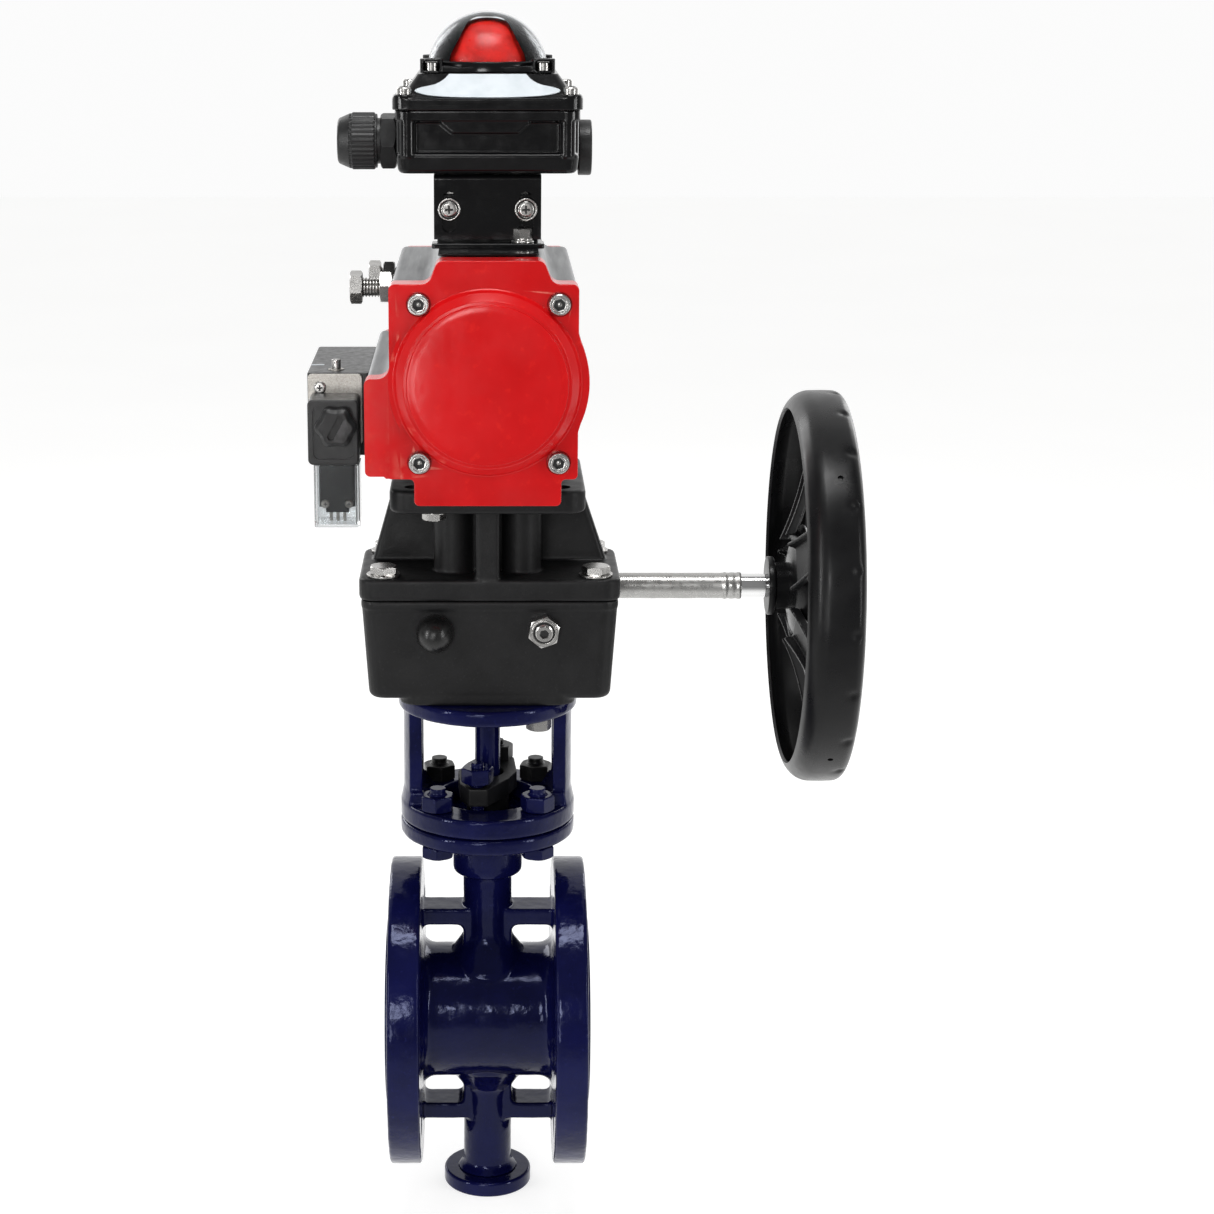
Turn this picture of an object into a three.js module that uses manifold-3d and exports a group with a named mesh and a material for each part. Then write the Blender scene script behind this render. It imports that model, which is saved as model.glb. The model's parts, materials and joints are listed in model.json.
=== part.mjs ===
// Flanged quarter-turn butterfly valve with a rack-and-pinion pneumatic actuator, a declutchable
// handwheel gearbox, a pilot solenoid valve and a limit-switch box with a domed position indicator.
// Units are millimetres. +Z is up along the stem, +X is along the pipe towards the handwheel.
// The origin is the centre of the underside of the bottom cover, on the stem axis.
import * as THREE from "three";
import { mergeVertices } from "three/addons/utils/BufferGeometryUtils.js";
import Module from "manifold-3d";

const wasm = await Module();
wasm.setup();

// ---------------------------------------------------------------- driving dimensions
const GAP = 0.3; // clearance left between touching pieces
const QUARTER = Math.PI / 2;

// Pipe end of the valve, nominal bore 50
const PIPE_AXIS_Z = 101;
const BORE_R = 25;
const FACE_TO_FACE = 108;
const FLANGE_R = 82.5;
const FLANGE_RIM_INNER_X = 35;
const RAISED_FACE = { r: 51, height: 2 };
const FLANGE_HOLES = { pitchR: 62.5, r: 9 };
const BARREL_R = 36;
const COLUMN_R = 13;
const NECK = { r: 18.5, low: 181 };
const RIB = { low: 52, high: 61, halfWidth: 10 };
const TOP_FLANGE = { r: 46, low: 205, high: 213.2 };
const BOTTOM_COVER = { r: 23.7, height: 8, edge: 1, spigot: 3 };

// Disc and seat: both lie on spheres about the point where the stem crosses the pipe
const SEAT = { low: 7.4, high: 13.5, sphereR: 24.4, outerR: 27.6 };
const DISC_SPHERE_R = 24;
const DISC_PLATE = { low: 3, high: 8.2 };
const DISC_SEAL = { low: 8.5, high: 10.1, innerR: 15 };
const DISC_CLAMP = { low: 10.4, high: 12.7 };
const DISC_HUB = { r: 10.5, halfHeight: 18 };
const DISC_PIN_R = 2.5;

// Stem and its guides
const STEM_R = 6.7;
const STEM = { low: 12, top: 330, squareLow: 292, square: 9 };
const STEM_BORE_R = 9.5;
const BUSH = { outerR: 9.2, innerR: 7, lower: [34, 62], upper: [140, 168] };
const PACKING = { boreR: 11.5, r: 11.2, low: 190.5, high: 206 };
const FOLLOWER = { r: 11.2, low: 206.5, high: 227.2 };
const GLAND_PLATE = { low: 227.5, high: 237, r: 15.5, lobeR: 9.4, lobeAt: 19, studR: 20.7, turn: -0.26 };
const GLAND_STUD = { r: 4, low: 206, high: 248, nutR: 7.5, nutHeight: 7 };

// Yoke between the valve and the gearbox
const YOKE_BASE = { low: 213.8, high: 224, innerR: 26.5 };
const YOKE_LEG = { innerR: 37.9, outerR: 44.3, halfWidth: 17.5 };
const YOKE_DISC = { r: 46.9, low: 274.7, high: 283, boreR: 12 };
const YOKE_BOLTS = { at: 26, r: 5, headR: 9.2, headHeight: 6.2, nutHeight: 8.2, end: 236 };

// Gearbox
const GEARBOX_X = 1.1;
const GEARBOX = { halfX: 66.4, halfY: 37, low: 286.5, parting: 338.3, top: 350, corner: 8 };
const GEARBOX_PAD = { halfX: 45, halfY: 35, low: 283.3, corner: 10 };
const GEARBOX_POCKET = { halfX: 46, halfY: 31.5, floor: 294 };
const LEVER_SLOT = { halfX: 5, wall: 6 };
const WORM_WHEEL = {
  r: 29.2, low: 316, high: 336, hubR: 14, hubLow: 288, hubHigh: 341, arc: 1.95, grooves: 20, grooveR: 1.4,
};
const DRIVE_SHAFT = { r: 9.5, square: 13, high: 412 };
const TUNNEL = { y: 40.2, z: 325.7, r: 16.5, boreR: 11.6, from: -52, to: 64 };
const SLEEVE = {
  r: 11.3, boreR: 6.3, throwY: 1.8, throwZ: 1.8, from: -51, to: 63, windowX: 25,
  bridge: [[-40, -40], [7, -40], [40, -7], [0, 0]],
};
const LEVER = {
  r: 3.2, from: 11.8, reach: 44, tilt: -45, knobR: 6.5, neckR: 4, tipR: 3, knob: [-4, 2, 6, 11],
};
const WORM = { r: 8.8, rootR: 7, journalR: 6, shaftR: 6.5, pitch: 8, turns: 5, from: -50, to: 174 };
const STOP_SCREW = { x: 28.6, z: 324, r: 4, nutR: 8.6, nutHeight: 6, inner: 30.5, outer: 46 };
const STOP_CAP = { x: -26.7, z: 322.5, r: 9.4, frontR: 4.7, crownR: 8.1, length: 14, steps: [1, 4, 9] };
const COVER_BOLT = { x: 54, y: 27, r: 3.4, headR: 7.4, headHeight: 5, depth: 14 };
const PLATE = { halfX: 49, halfY: 48, low: 386.2, high: 398, corner: 9, holeAt: 37, holeR: 4.6 };
const PEDESTAL = {
  halfX: 61.5, topHalfX: 48.5, wall: [6, 18], topWall: [9, 21], ribHalf: 6, coreR: 20,
  columnR: 10.5, columnX: 17, columnY: -14,
};

// Handwheel
const WHEEL = {
  lipX: 160, farX: 189.3, r: 104.8, lipR: 94.4, boreR: 6.3,
  hubFrom: 149.7, hubTo: 166, hubR: 15.8, flange: 3, bossR: 12.8,
};
const WHEEL_ARMS = {
  count: 5, halfWidth: 8,
  side: [[160, 8], [166, 8], [178, 45], [181, 91], [177, 91], [174, 47]],
};
const WHEEL_NUT = { r: 8, to: 172 };

// Pneumatic actuator, its cylinder axis along Y
const CYLINDER = { z: 459.3, halfLength: 75, r: 48.3, boreR: 44, low: 400, high: 517 };
const SHOULDER = { left: -46.5, right: 43, low: 413, high: 506 };
const TOP_PAD = { left: -23.5, right: 26.5 };
const BOTTOM_PAD = { left: -35, right: 35.2 };
const VALVE_PAD = { left: -58.5, low: 414, high: 461 };
const CAP = { flange: 16, bulge: 10, rootR: 44.4, faceR: 38, crown: 5, cavityR: 35.5, gasket: 0.6 };
const PISTON = {
  r: 43.6, inner: 32, thickness: 12, armReach: 60, armHalfHeight: 12, armOuter: 25,
  seatR: 18, seatDepth: 4,
};
const RACK_TOOTH = { rootHalf: 2.1, tipHalf: 0.9, root: 2, tip: -1.5 };
const PINION = {
  teeth: 14, module: 2, low: 446, high: 472, shaftR: 12.5, bottom: 401, top: 525,
  pressureAngle: Math.PI / 9, backlash: 0.018, radii: [11.4, 13.2, 14.2, 15.5],
  neck: { r: 10.8, low: 413, high: 506 }, journalR: 12, headR: 9, slot: [10, 2.2, 4],
};
const STROKE_BOLT = {
  y: 22, z: 496, r: 5, headR: 8.3, headFrom: -68, headTo: -62, nutFrom: -53.2, nutTo: -47.2, tip: -41,
  rearSetIn: 7.4,
};
const SPRING = { coilR: 26, wireR: 2.4, wireSides: 5, turns: 3, steps: 36, from: 69.5, to: 92 };

// Limit-switch box and its bracket
const LOWER_BRACKET = { halfX: 24.5, halfY: 37, low: 517.4, high: 543, sheet: 3 };
const UPPER_BRACKET = { halfX: 26, halfY: 40.6, low: 521.5, high: 552.6, sheet: 3 };
const SLOT = { x: 18.7, low: 528, high: 541, r: 3.4 };
const BRACKET_BORE_R = 13;
const BOX = { halfX: 44.6, halfY: 46, low: 553.2, high: 583.2, wall: 3.5, corner: 6 };
const LID = {
  rimHalfX: 45.8, rimHalfY: 48.5, low: 583.6, rim: 590, top: 600, topHalf: 33, corner: 8, wall: 3,
};
const DOME = {
  r: 30, centreZ: 599, baseR: 32.4, wall: 2, flangeHalf: 31, flange: 604.5, outerFrom: 14, innerFrom: 8,
};
const ROTOR = { r: 26.2, centreZ: 599.6, low: 601, from: 6 };
const SWITCH_SHAFT = {
  r: 5, low: 522, high: 600.6, tang: { halfX: 7, halfY: 1.8, height: 8, tipR: 8.6 },
  camR: 12, camHeight: 5, camOffset: 1.5, cams: [566, 574],
};
const MICROSWITCH = { width: 10, depth: 27, height: 9, x: 22, below: 2 };
const GLAND = {
  z: 566, hexFrom: -45, hexTo: -54.4, nutTo: -74.4, end: -38,
  r: 14, hexR: 14.5, boreR: 5.5, threadR: 7.6, crown: [10.5, 13], rise: [4, 9],
};
const PLUG = { z: 562.8, r: 13.6, to: 51.6 };
const PORT_R = 8;

// Pilot solenoid valve on the actuator's left pad
const SOLENOID_BODY = { left: -90, right: -59, front: -26, back: 62, low: 412, high: 453.8 };
const COIL = { left: -88.6, right: -63.4, front: -49, back: -26.6, low: 411.4, high: 444 };
const COIL_NUT = { x: -74.4, z: 431, r: 10.4, sides: 12, tubeR: 4.4, front: -56 };
const CONNECTOR = { left: -86, right: -63.4, front: -48, back: -28, low: 379.8, high: 411.1 };
const OVERRIDE = { x: -76, y: -15, r: 2.4, floor: 444.7, low: 448, high: 459 };

// ---------------------------------------------------------------- solids
const SMALL = 10; // sides of a small round feature
const MEDIUM = 16;
const ROUND = 28;
const FINE = 40;
const DOME_SIDES = 20;
const TUNNEL_SIDES = 18;

// Turns a shape built about +Y so that it stands about the named axis.
const ABOUT = {
  x: new THREE.Matrix4().makeRotationZ(-QUARTER),
  y: new THREE.Matrix4(),
  z: new THREE.Matrix4().makeRotationX(QUARTER),
};

// Turns a shape drawn in XY and extruded along +Z: "x" draws in YZ and extrudes along +X,
// "y" draws in XZ and extrudes along -Y.
const basis = (u, v, w) => new THREE.Matrix4().makeBasis(
  new THREE.Vector3(...u), new THREE.Vector3(...v), new THREE.Vector3(...w));
const FACING = {
  x: basis([0, 1, 0], [0, 0, 1], [1, 0, 0]),
  y: basis([1, 0, 0], [0, 0, 1], [0, -1, 0]),
  z: new THREE.Matrix4(),
};

function solid(geometry) {
  geometry.deleteAttribute("normal");
  geometry.deleteAttribute("uv");
  const merged = mergeVertices(geometry, 1e-4);
  return new wasm.Manifold(new wasm.Mesh({
    numProp: 3,
    vertProperties: merged.attributes.position.array,
    triVerts: new Uint32Array(merged.index.array),
  }));
}

const join = (...solids) => solids.flat().reduce((sum, next) => sum.add(next));
const cut = (base, ...tools) => tools.flat().reduce((rest, tool) => rest.subtract(tool), base);
const moved = (shape, x, y, z) => shape.translate([x, y, z]);

// A profile of [radius, height] points that starts and ends on the axis, or a closed ring,
// with the outer side running upwards.
function turned(profile, axis, at = [0, 0, 0], sides = ROUND) {
  const points = profile.map(([r, h]) => new THREE.Vector2(r, h));
  const geometry = new THREE.LatheGeometry(points, sides).applyMatrix4(ABOUT[axis]);
  return solid(geometry.translate(...at));
}

function rod(r, from, to, axis, at, sides) {
  return turned([[0, from], [r, from], [r, to], [0, to]], axis, at, sides);
}

function tube(r, innerR, from, to, axis, at, sides) {
  const profile = [[innerR, from], [r, from], [r, to], [innerR, to], [innerR, from]];
  return turned(profile, axis, at, sides);
}

function block(low, high) {
  const size = high.map((value, i) => value - low[i]);
  const middle = high.map((value, i) => (value + low[i]) / 2);
  return solid(new THREE.BoxGeometry(...size).translate(...middle));
}

function outline(points) {
  return new THREE.Shape(points.map(([u, v]) => new THREE.Vector2(u, v)));
}

function roundedRectangle(left, right, low, high, r) {
  const shape = new THREE.Shape();
  shape.absarc(right - r, low + r, r, -QUARTER, 0);
  shape.absarc(right - r, high - r, r, 0, QUARTER);
  shape.absarc(left + r, high - r, r, QUARTER, 2 * QUARTER);
  shape.absarc(left + r, low + r, r, 2 * QUARTER, 3 * QUARTER);
  return shape;
}

// A shape drawn across the axis, extruded between two places on it.
function prism(shape, from, to, axis, curveSegments = 4) {
  const options = { depth: to - from, bevelEnabled: false, curveSegments };
  const geometry = new THREE.ExtrudeGeometry(shape, options).applyMatrix4(FACING[axis]);
  const start = { x: [from, 0, 0], y: [0, to, 0], z: [0, 0, from] }[axis];
  return solid(geometry.translate(...start));
}

// A block whose upper and lower rectangles differ, for drafted castings.
function frustum(lower, upper) {
  const ring = ([left, right, front, back, z]) => [
    [left, front, z], [right, front, z], [right, back, z], [left, back, z]];
  const vertices = [...ring(lower), ...ring(upper)].flat();
  const faces = [0, 2, 1, 0, 3, 2, 4, 5, 6, 4, 6, 7];
  for (let side = 0; side < 4; side += 1) {
    const next = (side + 1) % 4;
    faces.push(side, next, next + 4, side, next + 4, side + 4);
  }
  const geometry = new THREE.BufferGeometry();
  geometry.setAttribute("position", new THREE.Float32BufferAttribute(vertices, 3));
  geometry.setIndex(faces);
  return solid(geometry);
}

const corners = (x, y) => [[-x, -y], [x, -y], [x, y], [-x, y]];
const onCircle = (count, r, start = 0) => Array.from({ length: count }, (_, i) => {
  const angle = start + (i * 2 * Math.PI) / count;
  return [r * Math.cos(angle), r * Math.sin(angle)];
});

// ---------------------------------------------------------------- materials
const finish = (color, roughness, metalness = 0) =>
  new THREE.MeshStandardMaterial({ color, roughness, metalness });
const BLUE = finish(0x0b0e38, 0.25);
const BLACK_PAINT = finish(0x232426, 0.5);
const BLACK_BOX = finish(0x0c0c0e, 0.2);
const RED = finish(0xd01512, 0.25);
const ALUMINIUM = finish(0x85878a, 0.5, 0.6);
const STEEL = finish(0xc4c4c2, 0.3, 0.9);
const CHROME = finish(0xe2e4e6, 0.12, 1);
const BRONZE = finish(0xa8803c, 0.4, 0.8);
const GRAPHITE = finish(0x2a2a2c, 0.8);
const PLASTIC = finish(0x161718, 0.4);
const CLEAR = finish(0xdfe6ea, 0.08);
const SIGNAL_RED = finish(0xe8281e, 0.3);

const assembly = new THREE.Group();

function addPart(name, shape, material) {
  const { numProp, vertProperties, triVerts } = shape.getMesh();
  const geometry = new THREE.BufferGeometry();
  const vertices = new THREE.InterleavedBuffer(vertProperties, numProp);
  geometry.setAttribute("position", new THREE.InterleavedBufferAttribute(vertices, 3, 0));
  geometry.setIndex(new THREE.BufferAttribute(triVerts, 1));
  geometry.computeVertexNormals();
  const mesh = new THREE.Mesh(geometry, material);
  mesh.name = name;
  assembly.add(mesh);
}

// ---------------------------------------------------------------- valve
const pipeAt = (r, from, to, sides) => rod(r, from, to, "x", [0, 0, PIPE_AXIS_Z], sides);

function valveBody() {
  const rimOuter = FACE_TO_FACE / 2 - RAISED_FACE.height;
  const pieces = [pipeAt(BARREL_R, -FLANGE_RIM_INNER_X, FLANGE_RIM_INNER_X)];
  for (const side of [-1, 1]) {
    const span = (near, far) => [Math.min(side * near, side * far), Math.max(side * near, side * far)];
    pieces.push(pipeAt(FLANGE_R, ...span(FLANGE_RIM_INNER_X, rimOuter), FINE));
    pieces.push(pipeAt(RAISED_FACE.r, ...span(FLANGE_RIM_INNER_X, FACE_TO_FACE / 2)));
    const [low, high] = span(RIB.low, RIB.high);
    pieces.push(block(
      [-FLANGE_RIM_INNER_X - 1, -RIB.halfWidth, PIPE_AXIS_Z + low],
      [FLANGE_RIM_INNER_X + 1, RIB.halfWidth, PIPE_AXIS_Z + high]));
  }
  pieces.push(rod(COLUMN_R, BOTTOM_COVER.height + GAP, TOP_FLANGE.high, "z", undefined, MEDIUM));
  pieces.push(rod(NECK.r, NECK.low, TOP_FLANGE.high, "z", undefined, MEDIUM));
  pieces.push(rod(TOP_FLANGE.r, TOP_FLANGE.low, TOP_FLANGE.high, "z"));
  const holes = onCircle(4, FLANGE_HOLES.pitchR, Math.PI / 4).map(([y, z]) =>
    rod(FLANGE_HOLES.r, -FACE_TO_FACE, FACE_TO_FACE, "x", [0, y, PIPE_AXIS_Z + z], MEDIUM));
  const boltHoles = corners(YOKE_BOLTS.at, YOKE_BOLTS.at).map(([x, y]) =>
    rod(YOKE_BOLTS.r + GAP, TOP_FLANGE.low - 1, TOP_FLANGE.high + 1, "z", [x, y, 0], SMALL));
  const studHoles = glandStudPlaces().map(([x, y]) =>
    rod(GLAND_STUD.r + GAP, GLAND_STUD.low - GAP, TOP_FLANGE.high + 1, "z", [x, y, 0], SMALL));
  return cut(
    join(pieces), pipeAt(BORE_R, -FACE_TO_FACE, FACE_TO_FACE),
    pipeAt(SEAT.outerR + GAP, SEAT.low - GAP, SEAT.high + GAP), holes, boltHoles, studHoles,
    rod(STEM_BORE_R, 0, TOP_FLANGE.high + 1, "z", undefined, MEDIUM),
    rod(PACKING.boreR, PACKING.low - GAP, TOP_FLANGE.high + 1, "z", undefined, MEDIUM));
}

function bottomCover() {
  const { r, height, edge, spigot } = BOTTOM_COVER;
  return turned([
    [0, 0], [r - edge, 0], [r, edge], [r, height - edge], [r - edge, height],
    [BUSH.outerR, height], [BUSH.outerR, height + spigot], [0, height + spigot]], "z");
}

// The slice of a sphere about the stem between two planes across the pipe.
function sphereEdge(r, low, high, steps = 3) {
  return Array.from({ length: steps + 1 }, (_, i) => {
    const x = low + ((high - low) * i) / steps;
    return [Math.sqrt(r * r - x * x), x];
  });
}

function seatRing() {
  const inner = sphereEdge(SEAT.sphereR, SEAT.low, SEAT.high).reverse();
  const profile = [[SEAT.outerR, SEAT.low], [SEAT.outerR, SEAT.high], ...inner, [SEAT.outerR, SEAT.low]];
  return turned(profile, "x", [0, 0, PIPE_AXIS_Z]);
}

function discSlice({ low, high }) {
  const edge = sphereEdge(DISC_SPHERE_R, low, high);
  return turned([[0, low], ...edge, [0, high]], "x", [0, 0, PIPE_AXIS_Z]);
}

function disc() {
  const [hubLow, hubHigh] = [PIPE_AXIS_Z - DISC_HUB.halfHeight, PIPE_AXIS_Z + DISC_HUB.halfHeight];
  const ahead = block([DISC_PLATE.high, -BORE_R, 0], [BORE_R, BORE_R, 2 * PIPE_AXIS_Z]);
  const hub = cut(rod(DISC_HUB.r, hubLow, hubHigh, "z", undefined, MEDIUM), ahead);
  const spigot = pipeAt(DISC_SEAL.innerR - GAP, DISC_PLATE.high - 1, DISC_SEAL.high, MEDIUM);
  const whole = join(hub, discSlice(DISC_PLATE), spigot);
  return cut(
    whole, rod(STEM_R + GAP, 0, 2 * PIPE_AXIS_Z, "z", undefined, MEDIUM),
    rod(DISC_PIN_R + GAP, -BORE_R, BORE_R, "x", [0, 0, PIPE_AXIS_Z], SMALL));
}

function discSealRing() {
  const edge = sphereEdge(DISC_SPHERE_R, DISC_SEAL.low, DISC_SEAL.high, 2);
  const inner = DISC_SEAL.innerR;
  return turned([[inner, DISC_SEAL.low], ...edge, [inner, DISC_SEAL.high], [inner, DISC_SEAL.low]],
    "x", [0, 0, PIPE_AXIS_Z]);
}

function stem() {
  const round = rod(STEM_R, STEM.low, STEM.squareLow, "z", undefined, MEDIUM);
  const half = STEM.square / 2;
  const square = block([-half, -half, STEM.squareLow - 1], [half, half, STEM.top]);
  const pinHole = rod(DISC_PIN_R + GAP, -BORE_R, BORE_R, "x", [0, 0, PIPE_AXIS_Z], SMALL);
  return cut(join(round, square), pinHole);
}

const discPin = () => pipeAt(DISC_PIN_R, -DISC_HUB.r - 0.5, DISC_SEAL.high - 0.4, SMALL);
const bush = ([low, high]) => tube(BUSH.outerR, BUSH.innerR, low, high, "z", undefined, MEDIUM);
const packing = () => tube(PACKING.r, BUSH.innerR, PACKING.low, PACKING.high, "z", undefined, MEDIUM);
const glandFollower = () =>
  tube(FOLLOWER.r, BUSH.innerR, FOLLOWER.low, FOLLOWER.high, "z", undefined, MEDIUM);

// Places in front of the stem and behind it, on the line through both gland studs.
const onStudLine = (r) => onCircle(2, r, GLAND_PLATE.turn - QUARTER);
const glandStudPlaces = () => onStudLine(GLAND_PLATE.studR);

function glandPlate() {
  const { low, high } = GLAND_PLATE;
  const lobes = onStudLine(GLAND_PLATE.lobeAt).map(([x, y]) =>
    rod(GLAND_PLATE.lobeR, low, high, "z", [x, y, 0], 6));
  const holes = glandStudPlaces().map(([x, y]) =>
    rod(GLAND_STUD.r + GAP, low - 1, high + 1, "z", [x, y, 0], SMALL));
  const centre = rod(GLAND_PLATE.r, low, high, "z", undefined, MEDIUM);
  const bore = rod(BUSH.innerR + 0.6, low - 1, high + 1, "z", undefined, MEDIUM);
  return cut(join(centre, lobes), holes, bore);
}

function glandStud([x, y]) {
  const nutLow = GLAND_PLATE.high + GAP;
  return join(
    rod(GLAND_STUD.r, GLAND_STUD.low, GLAND_STUD.high, "z", [x, y, 0], SMALL),
    rod(GLAND_STUD.nutR, nutLow, nutLow + GLAND_STUD.nutHeight, "z", [x, y, 0], 6));
}

function yoke() {
  const { low, high, innerR } = YOKE_BASE;
  const base = tube(TOP_FLANGE.r, innerR, low, high, "z");
  const disc = tube(YOKE_DISC.r, YOKE_DISC.boreR, YOKE_DISC.low, YOKE_DISC.high, "z");
  const { innerR: legInnerR, outerR: legOuterR, halfWidth } = YOKE_LEG;
  const sleeve = tube(legOuterR, legInnerR, high - 1, YOKE_DISC.low + 1, "z", undefined, FINE);
  const windows = [-1, 1].map((side) => block(
    [-legOuterR - 1, Math.min(side * halfWidth, side * 2 * legOuterR), high - 2],
    [legOuterR + 1, Math.max(side * halfWidth, side * 2 * legOuterR), YOKE_DISC.low + 2]));
  const holes = corners(YOKE_BOLTS.at, YOKE_BOLTS.at).map(([x, y]) =>
    rod(YOKE_BOLTS.r + GAP, low - 1, high + 1, "z", [x, y, 0], SMALL));
  return cut(join(base, disc, cut(sleeve, windows)), holes);
}

function yokeBolt(x, y) {
  const headTop = TOP_FLANGE.low - GAP;
  const nutLow = YOKE_BASE.high + GAP;
  return join(
    rod(YOKE_BOLTS.headR, headTop - YOKE_BOLTS.headHeight, headTop, "z", [x, y, 0], 6),
    rod(YOKE_BOLTS.r, headTop - 1, YOKE_BOLTS.end, "z", [x, y, 0], SMALL),
    rod(YOKE_BOLTS.headR, nutLow, nutLow + YOKE_BOLTS.nutHeight, "z", [x, y, 0], 6));
}

// ---------------------------------------------------------------- gearbox
function gearboxOutline(inset) {
  const { halfX, halfY, corner } = GEARBOX;
  return roundedRectangle(
    GEARBOX_X - halfX + inset, GEARBOX_X + halfX - inset, inset - halfY, halfY - inset, corner);
}

function gearboxHousing() {
  const { low, parting } = GEARBOX;
  const shell = prism(gearboxOutline(1), low, parting, "z");
  const pad = prism(
    roundedRectangle(-GEARBOX_PAD.halfX, GEARBOX_PAD.halfX, -GEARBOX_PAD.halfY, GEARBOX_PAD.halfY,
      GEARBOX_PAD.corner), GEARBOX_PAD.low, low + 1, "z");
  const tunnelAt = [0, TUNNEL.y, TUNNEL.z];
  const tunnel = cut(
    rod(TUNNEL.r, TUNNEL.from, TUNNEL.to, "x", tunnelAt, TUNNEL_SIDES),
    block([-80, 0, parting], [80, 80, 2 * parting]));
  const pocket = block(
    [-GEARBOX_POCKET.halfX, -GEARBOX_POCKET.halfY, GEARBOX_POCKET.floor],
    [GEARBOX_POCKET.halfX, GEARBOX_POCKET.halfY, parting + 1]);
  const tunnelBore = rod(TUNNEL.boreR, TUNNEL.from - 1, TUNNEL.to + 5, "x", tunnelAt, TUNNEL_SIDES);
  const leverSlot = block(
    [-LEVER_SLOT.halfX, TUNNEL.y + LEVER_SLOT.wall, low],
    [LEVER_SLOT.halfX, TUNNEL.y + 2 * TUNNEL.r, parting + 1]);
  const stopHoles = [STOP_SCREW, STOP_CAP].map(({ x, z }) =>
    rod(STOP_SCREW.r + GAP, -2 * GEARBOX.halfY, 0, "y", [x, 0, z], SMALL));
  const hubHole = rod(WORM_WHEEL.hubR + GAP, 0, parting, "z", undefined, MEDIUM);
  const boltEnd = GEARBOX.top - COVER_BOLT.depth - GAP;
  return cut(
    join(shell, pad, tunnel), pocket, tunnelBore, leverSlot, hubHole, stopHoles,
    coverBoltHoles(boltEnd, parting + 1));
}

const coverBoltPlaces = () =>
  corners(COVER_BOLT.x, COVER_BOLT.y).map(([x, y]) => [x + GEARBOX_X, y]);

const coverBoltHoles = (low, high) => coverBoltPlaces().map(([x, y]) =>
  rod(COVER_BOLT.r + GAP, low, high, "z", [x, y, 0], SMALL));

// The cover carries a pedestal that widens downwards and ends in the actuator's mounting plate.
function gearboxCover() {
  const { top, parting } = GEARBOX;
  const lid = prism(gearboxOutline(0), parting + GAP, top, "z");
  const plate = prism(
    roundedRectangle(-PLATE.halfX, PLATE.halfX, -PLATE.halfY, PLATE.halfY, PLATE.corner),
    PLATE.low, PLATE.high, "z");
  const { halfX, topHalfX, wall: foot, topWall, ribHalf, coreR, columnR, columnX, columnY } = PEDESTAL;
  const wall = frustum(
    [-halfX + GEARBOX_X, halfX + GEARBOX_X, ...foot, top - 1],
    [-topHalfX, topHalfX, ...topWall, PLATE.low + 1]);
  const rib = block([-ribHalf, -GEARBOX.halfY + 0.5, top - 1], [ribHalf, 0, PLATE.low + 1]);
  const core = rod(coreR, top - 1, PLATE.low + 1, "z", undefined, MEDIUM);
  const columns = [-columnX, columnX].map((x) =>
    rod(columnR, top - 1, PLATE.low + 1, "z", [x, columnY, 0], MEDIUM));
  const plateHoles = corners(PLATE.holeAt, PLATE.holeAt).map(([x, y]) =>
    rod(PLATE.holeR, PLATE.low - 1, PLATE.high + 1, "z", [x, y, 0], SMALL));
  return cut(
    join(lid, plate, wall, rib, core, columns),
    rod(WORM_WHEEL.hubR + GAP, parting - 1, WORM_WHEEL.hubHigh + 1, "z", undefined, MEDIUM),
    rod(DRIVE_SHAFT.r + 0.5, parting, PLATE.high + 1, "z", undefined, MEDIUM), plateHoles,
    coverBoltHoles(parting, top + 1));
}

function coverBolt([x, y]) {
  const seat = GEARBOX.top + GAP;
  return join(
    rod(COVER_BOLT.headR, seat, seat + COVER_BOLT.headHeight, "z", [x, y, 0], 6),
    rod(COVER_BOLT.r, GEARBOX.top - COVER_BOLT.depth, seat + 1, "z", [x, y, 0], SMALL));
}

// A toothed sector on a sleeve: the stem's square enters from below, and the drive shaft
// leaves upwards to the actuator's pinion.
function wormWheel() {
  const { r, low, high, hubR, hubLow, hubHigh, arc, grooves: count, grooveR } = WORM_WHEEL;
  const pie = new THREE.Shape();
  pie.moveTo(0, 0);
  pie.absarc(0, 0, r, QUARTER - arc, QUARTER + arc);
  const sector = prism(pie, low, high, "z", 24);
  const grooves = Array.from({ length: count }, (_, i) => {
    const angle = QUARTER - arc + (2 * arc * (i + 0.5)) / count;
    return rod(grooveR, low - 1, high + 1, "z", [r * Math.cos(angle), r * Math.sin(angle), 0], 6);
  });
  const hub = rod(hubR, hubLow, hubHigh, "z", undefined, MEDIUM);
  const shaft = rod(DRIVE_SHAFT.r, hubHigh - 1, PLATE.high, "z", undefined, MEDIUM);
  const half = DRIVE_SHAFT.square / 2;
  const square = block([-half, -half, PLATE.high - 1], [half, half, DRIVE_SHAFT.high]);
  const socketHalf = STEM.square / 2 + GAP;
  const socket = block([-socketHalf, -socketHalf, hubLow - 1], [socketHalf, socketHalf, STEM.top + GAP]);
  const entry = rod(STEM_R + GAP, hubLow - 1, STEM.squareLow + GAP, "z", undefined, MEDIUM);
  return cut(join(cut(sector, grooves), hub, shaft, square), socket, entry);
}

const wormY = TUNNEL.y + SLEEVE.throwY;
const wormZ = TUNNEL.z + SLEEVE.throwZ;

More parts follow.
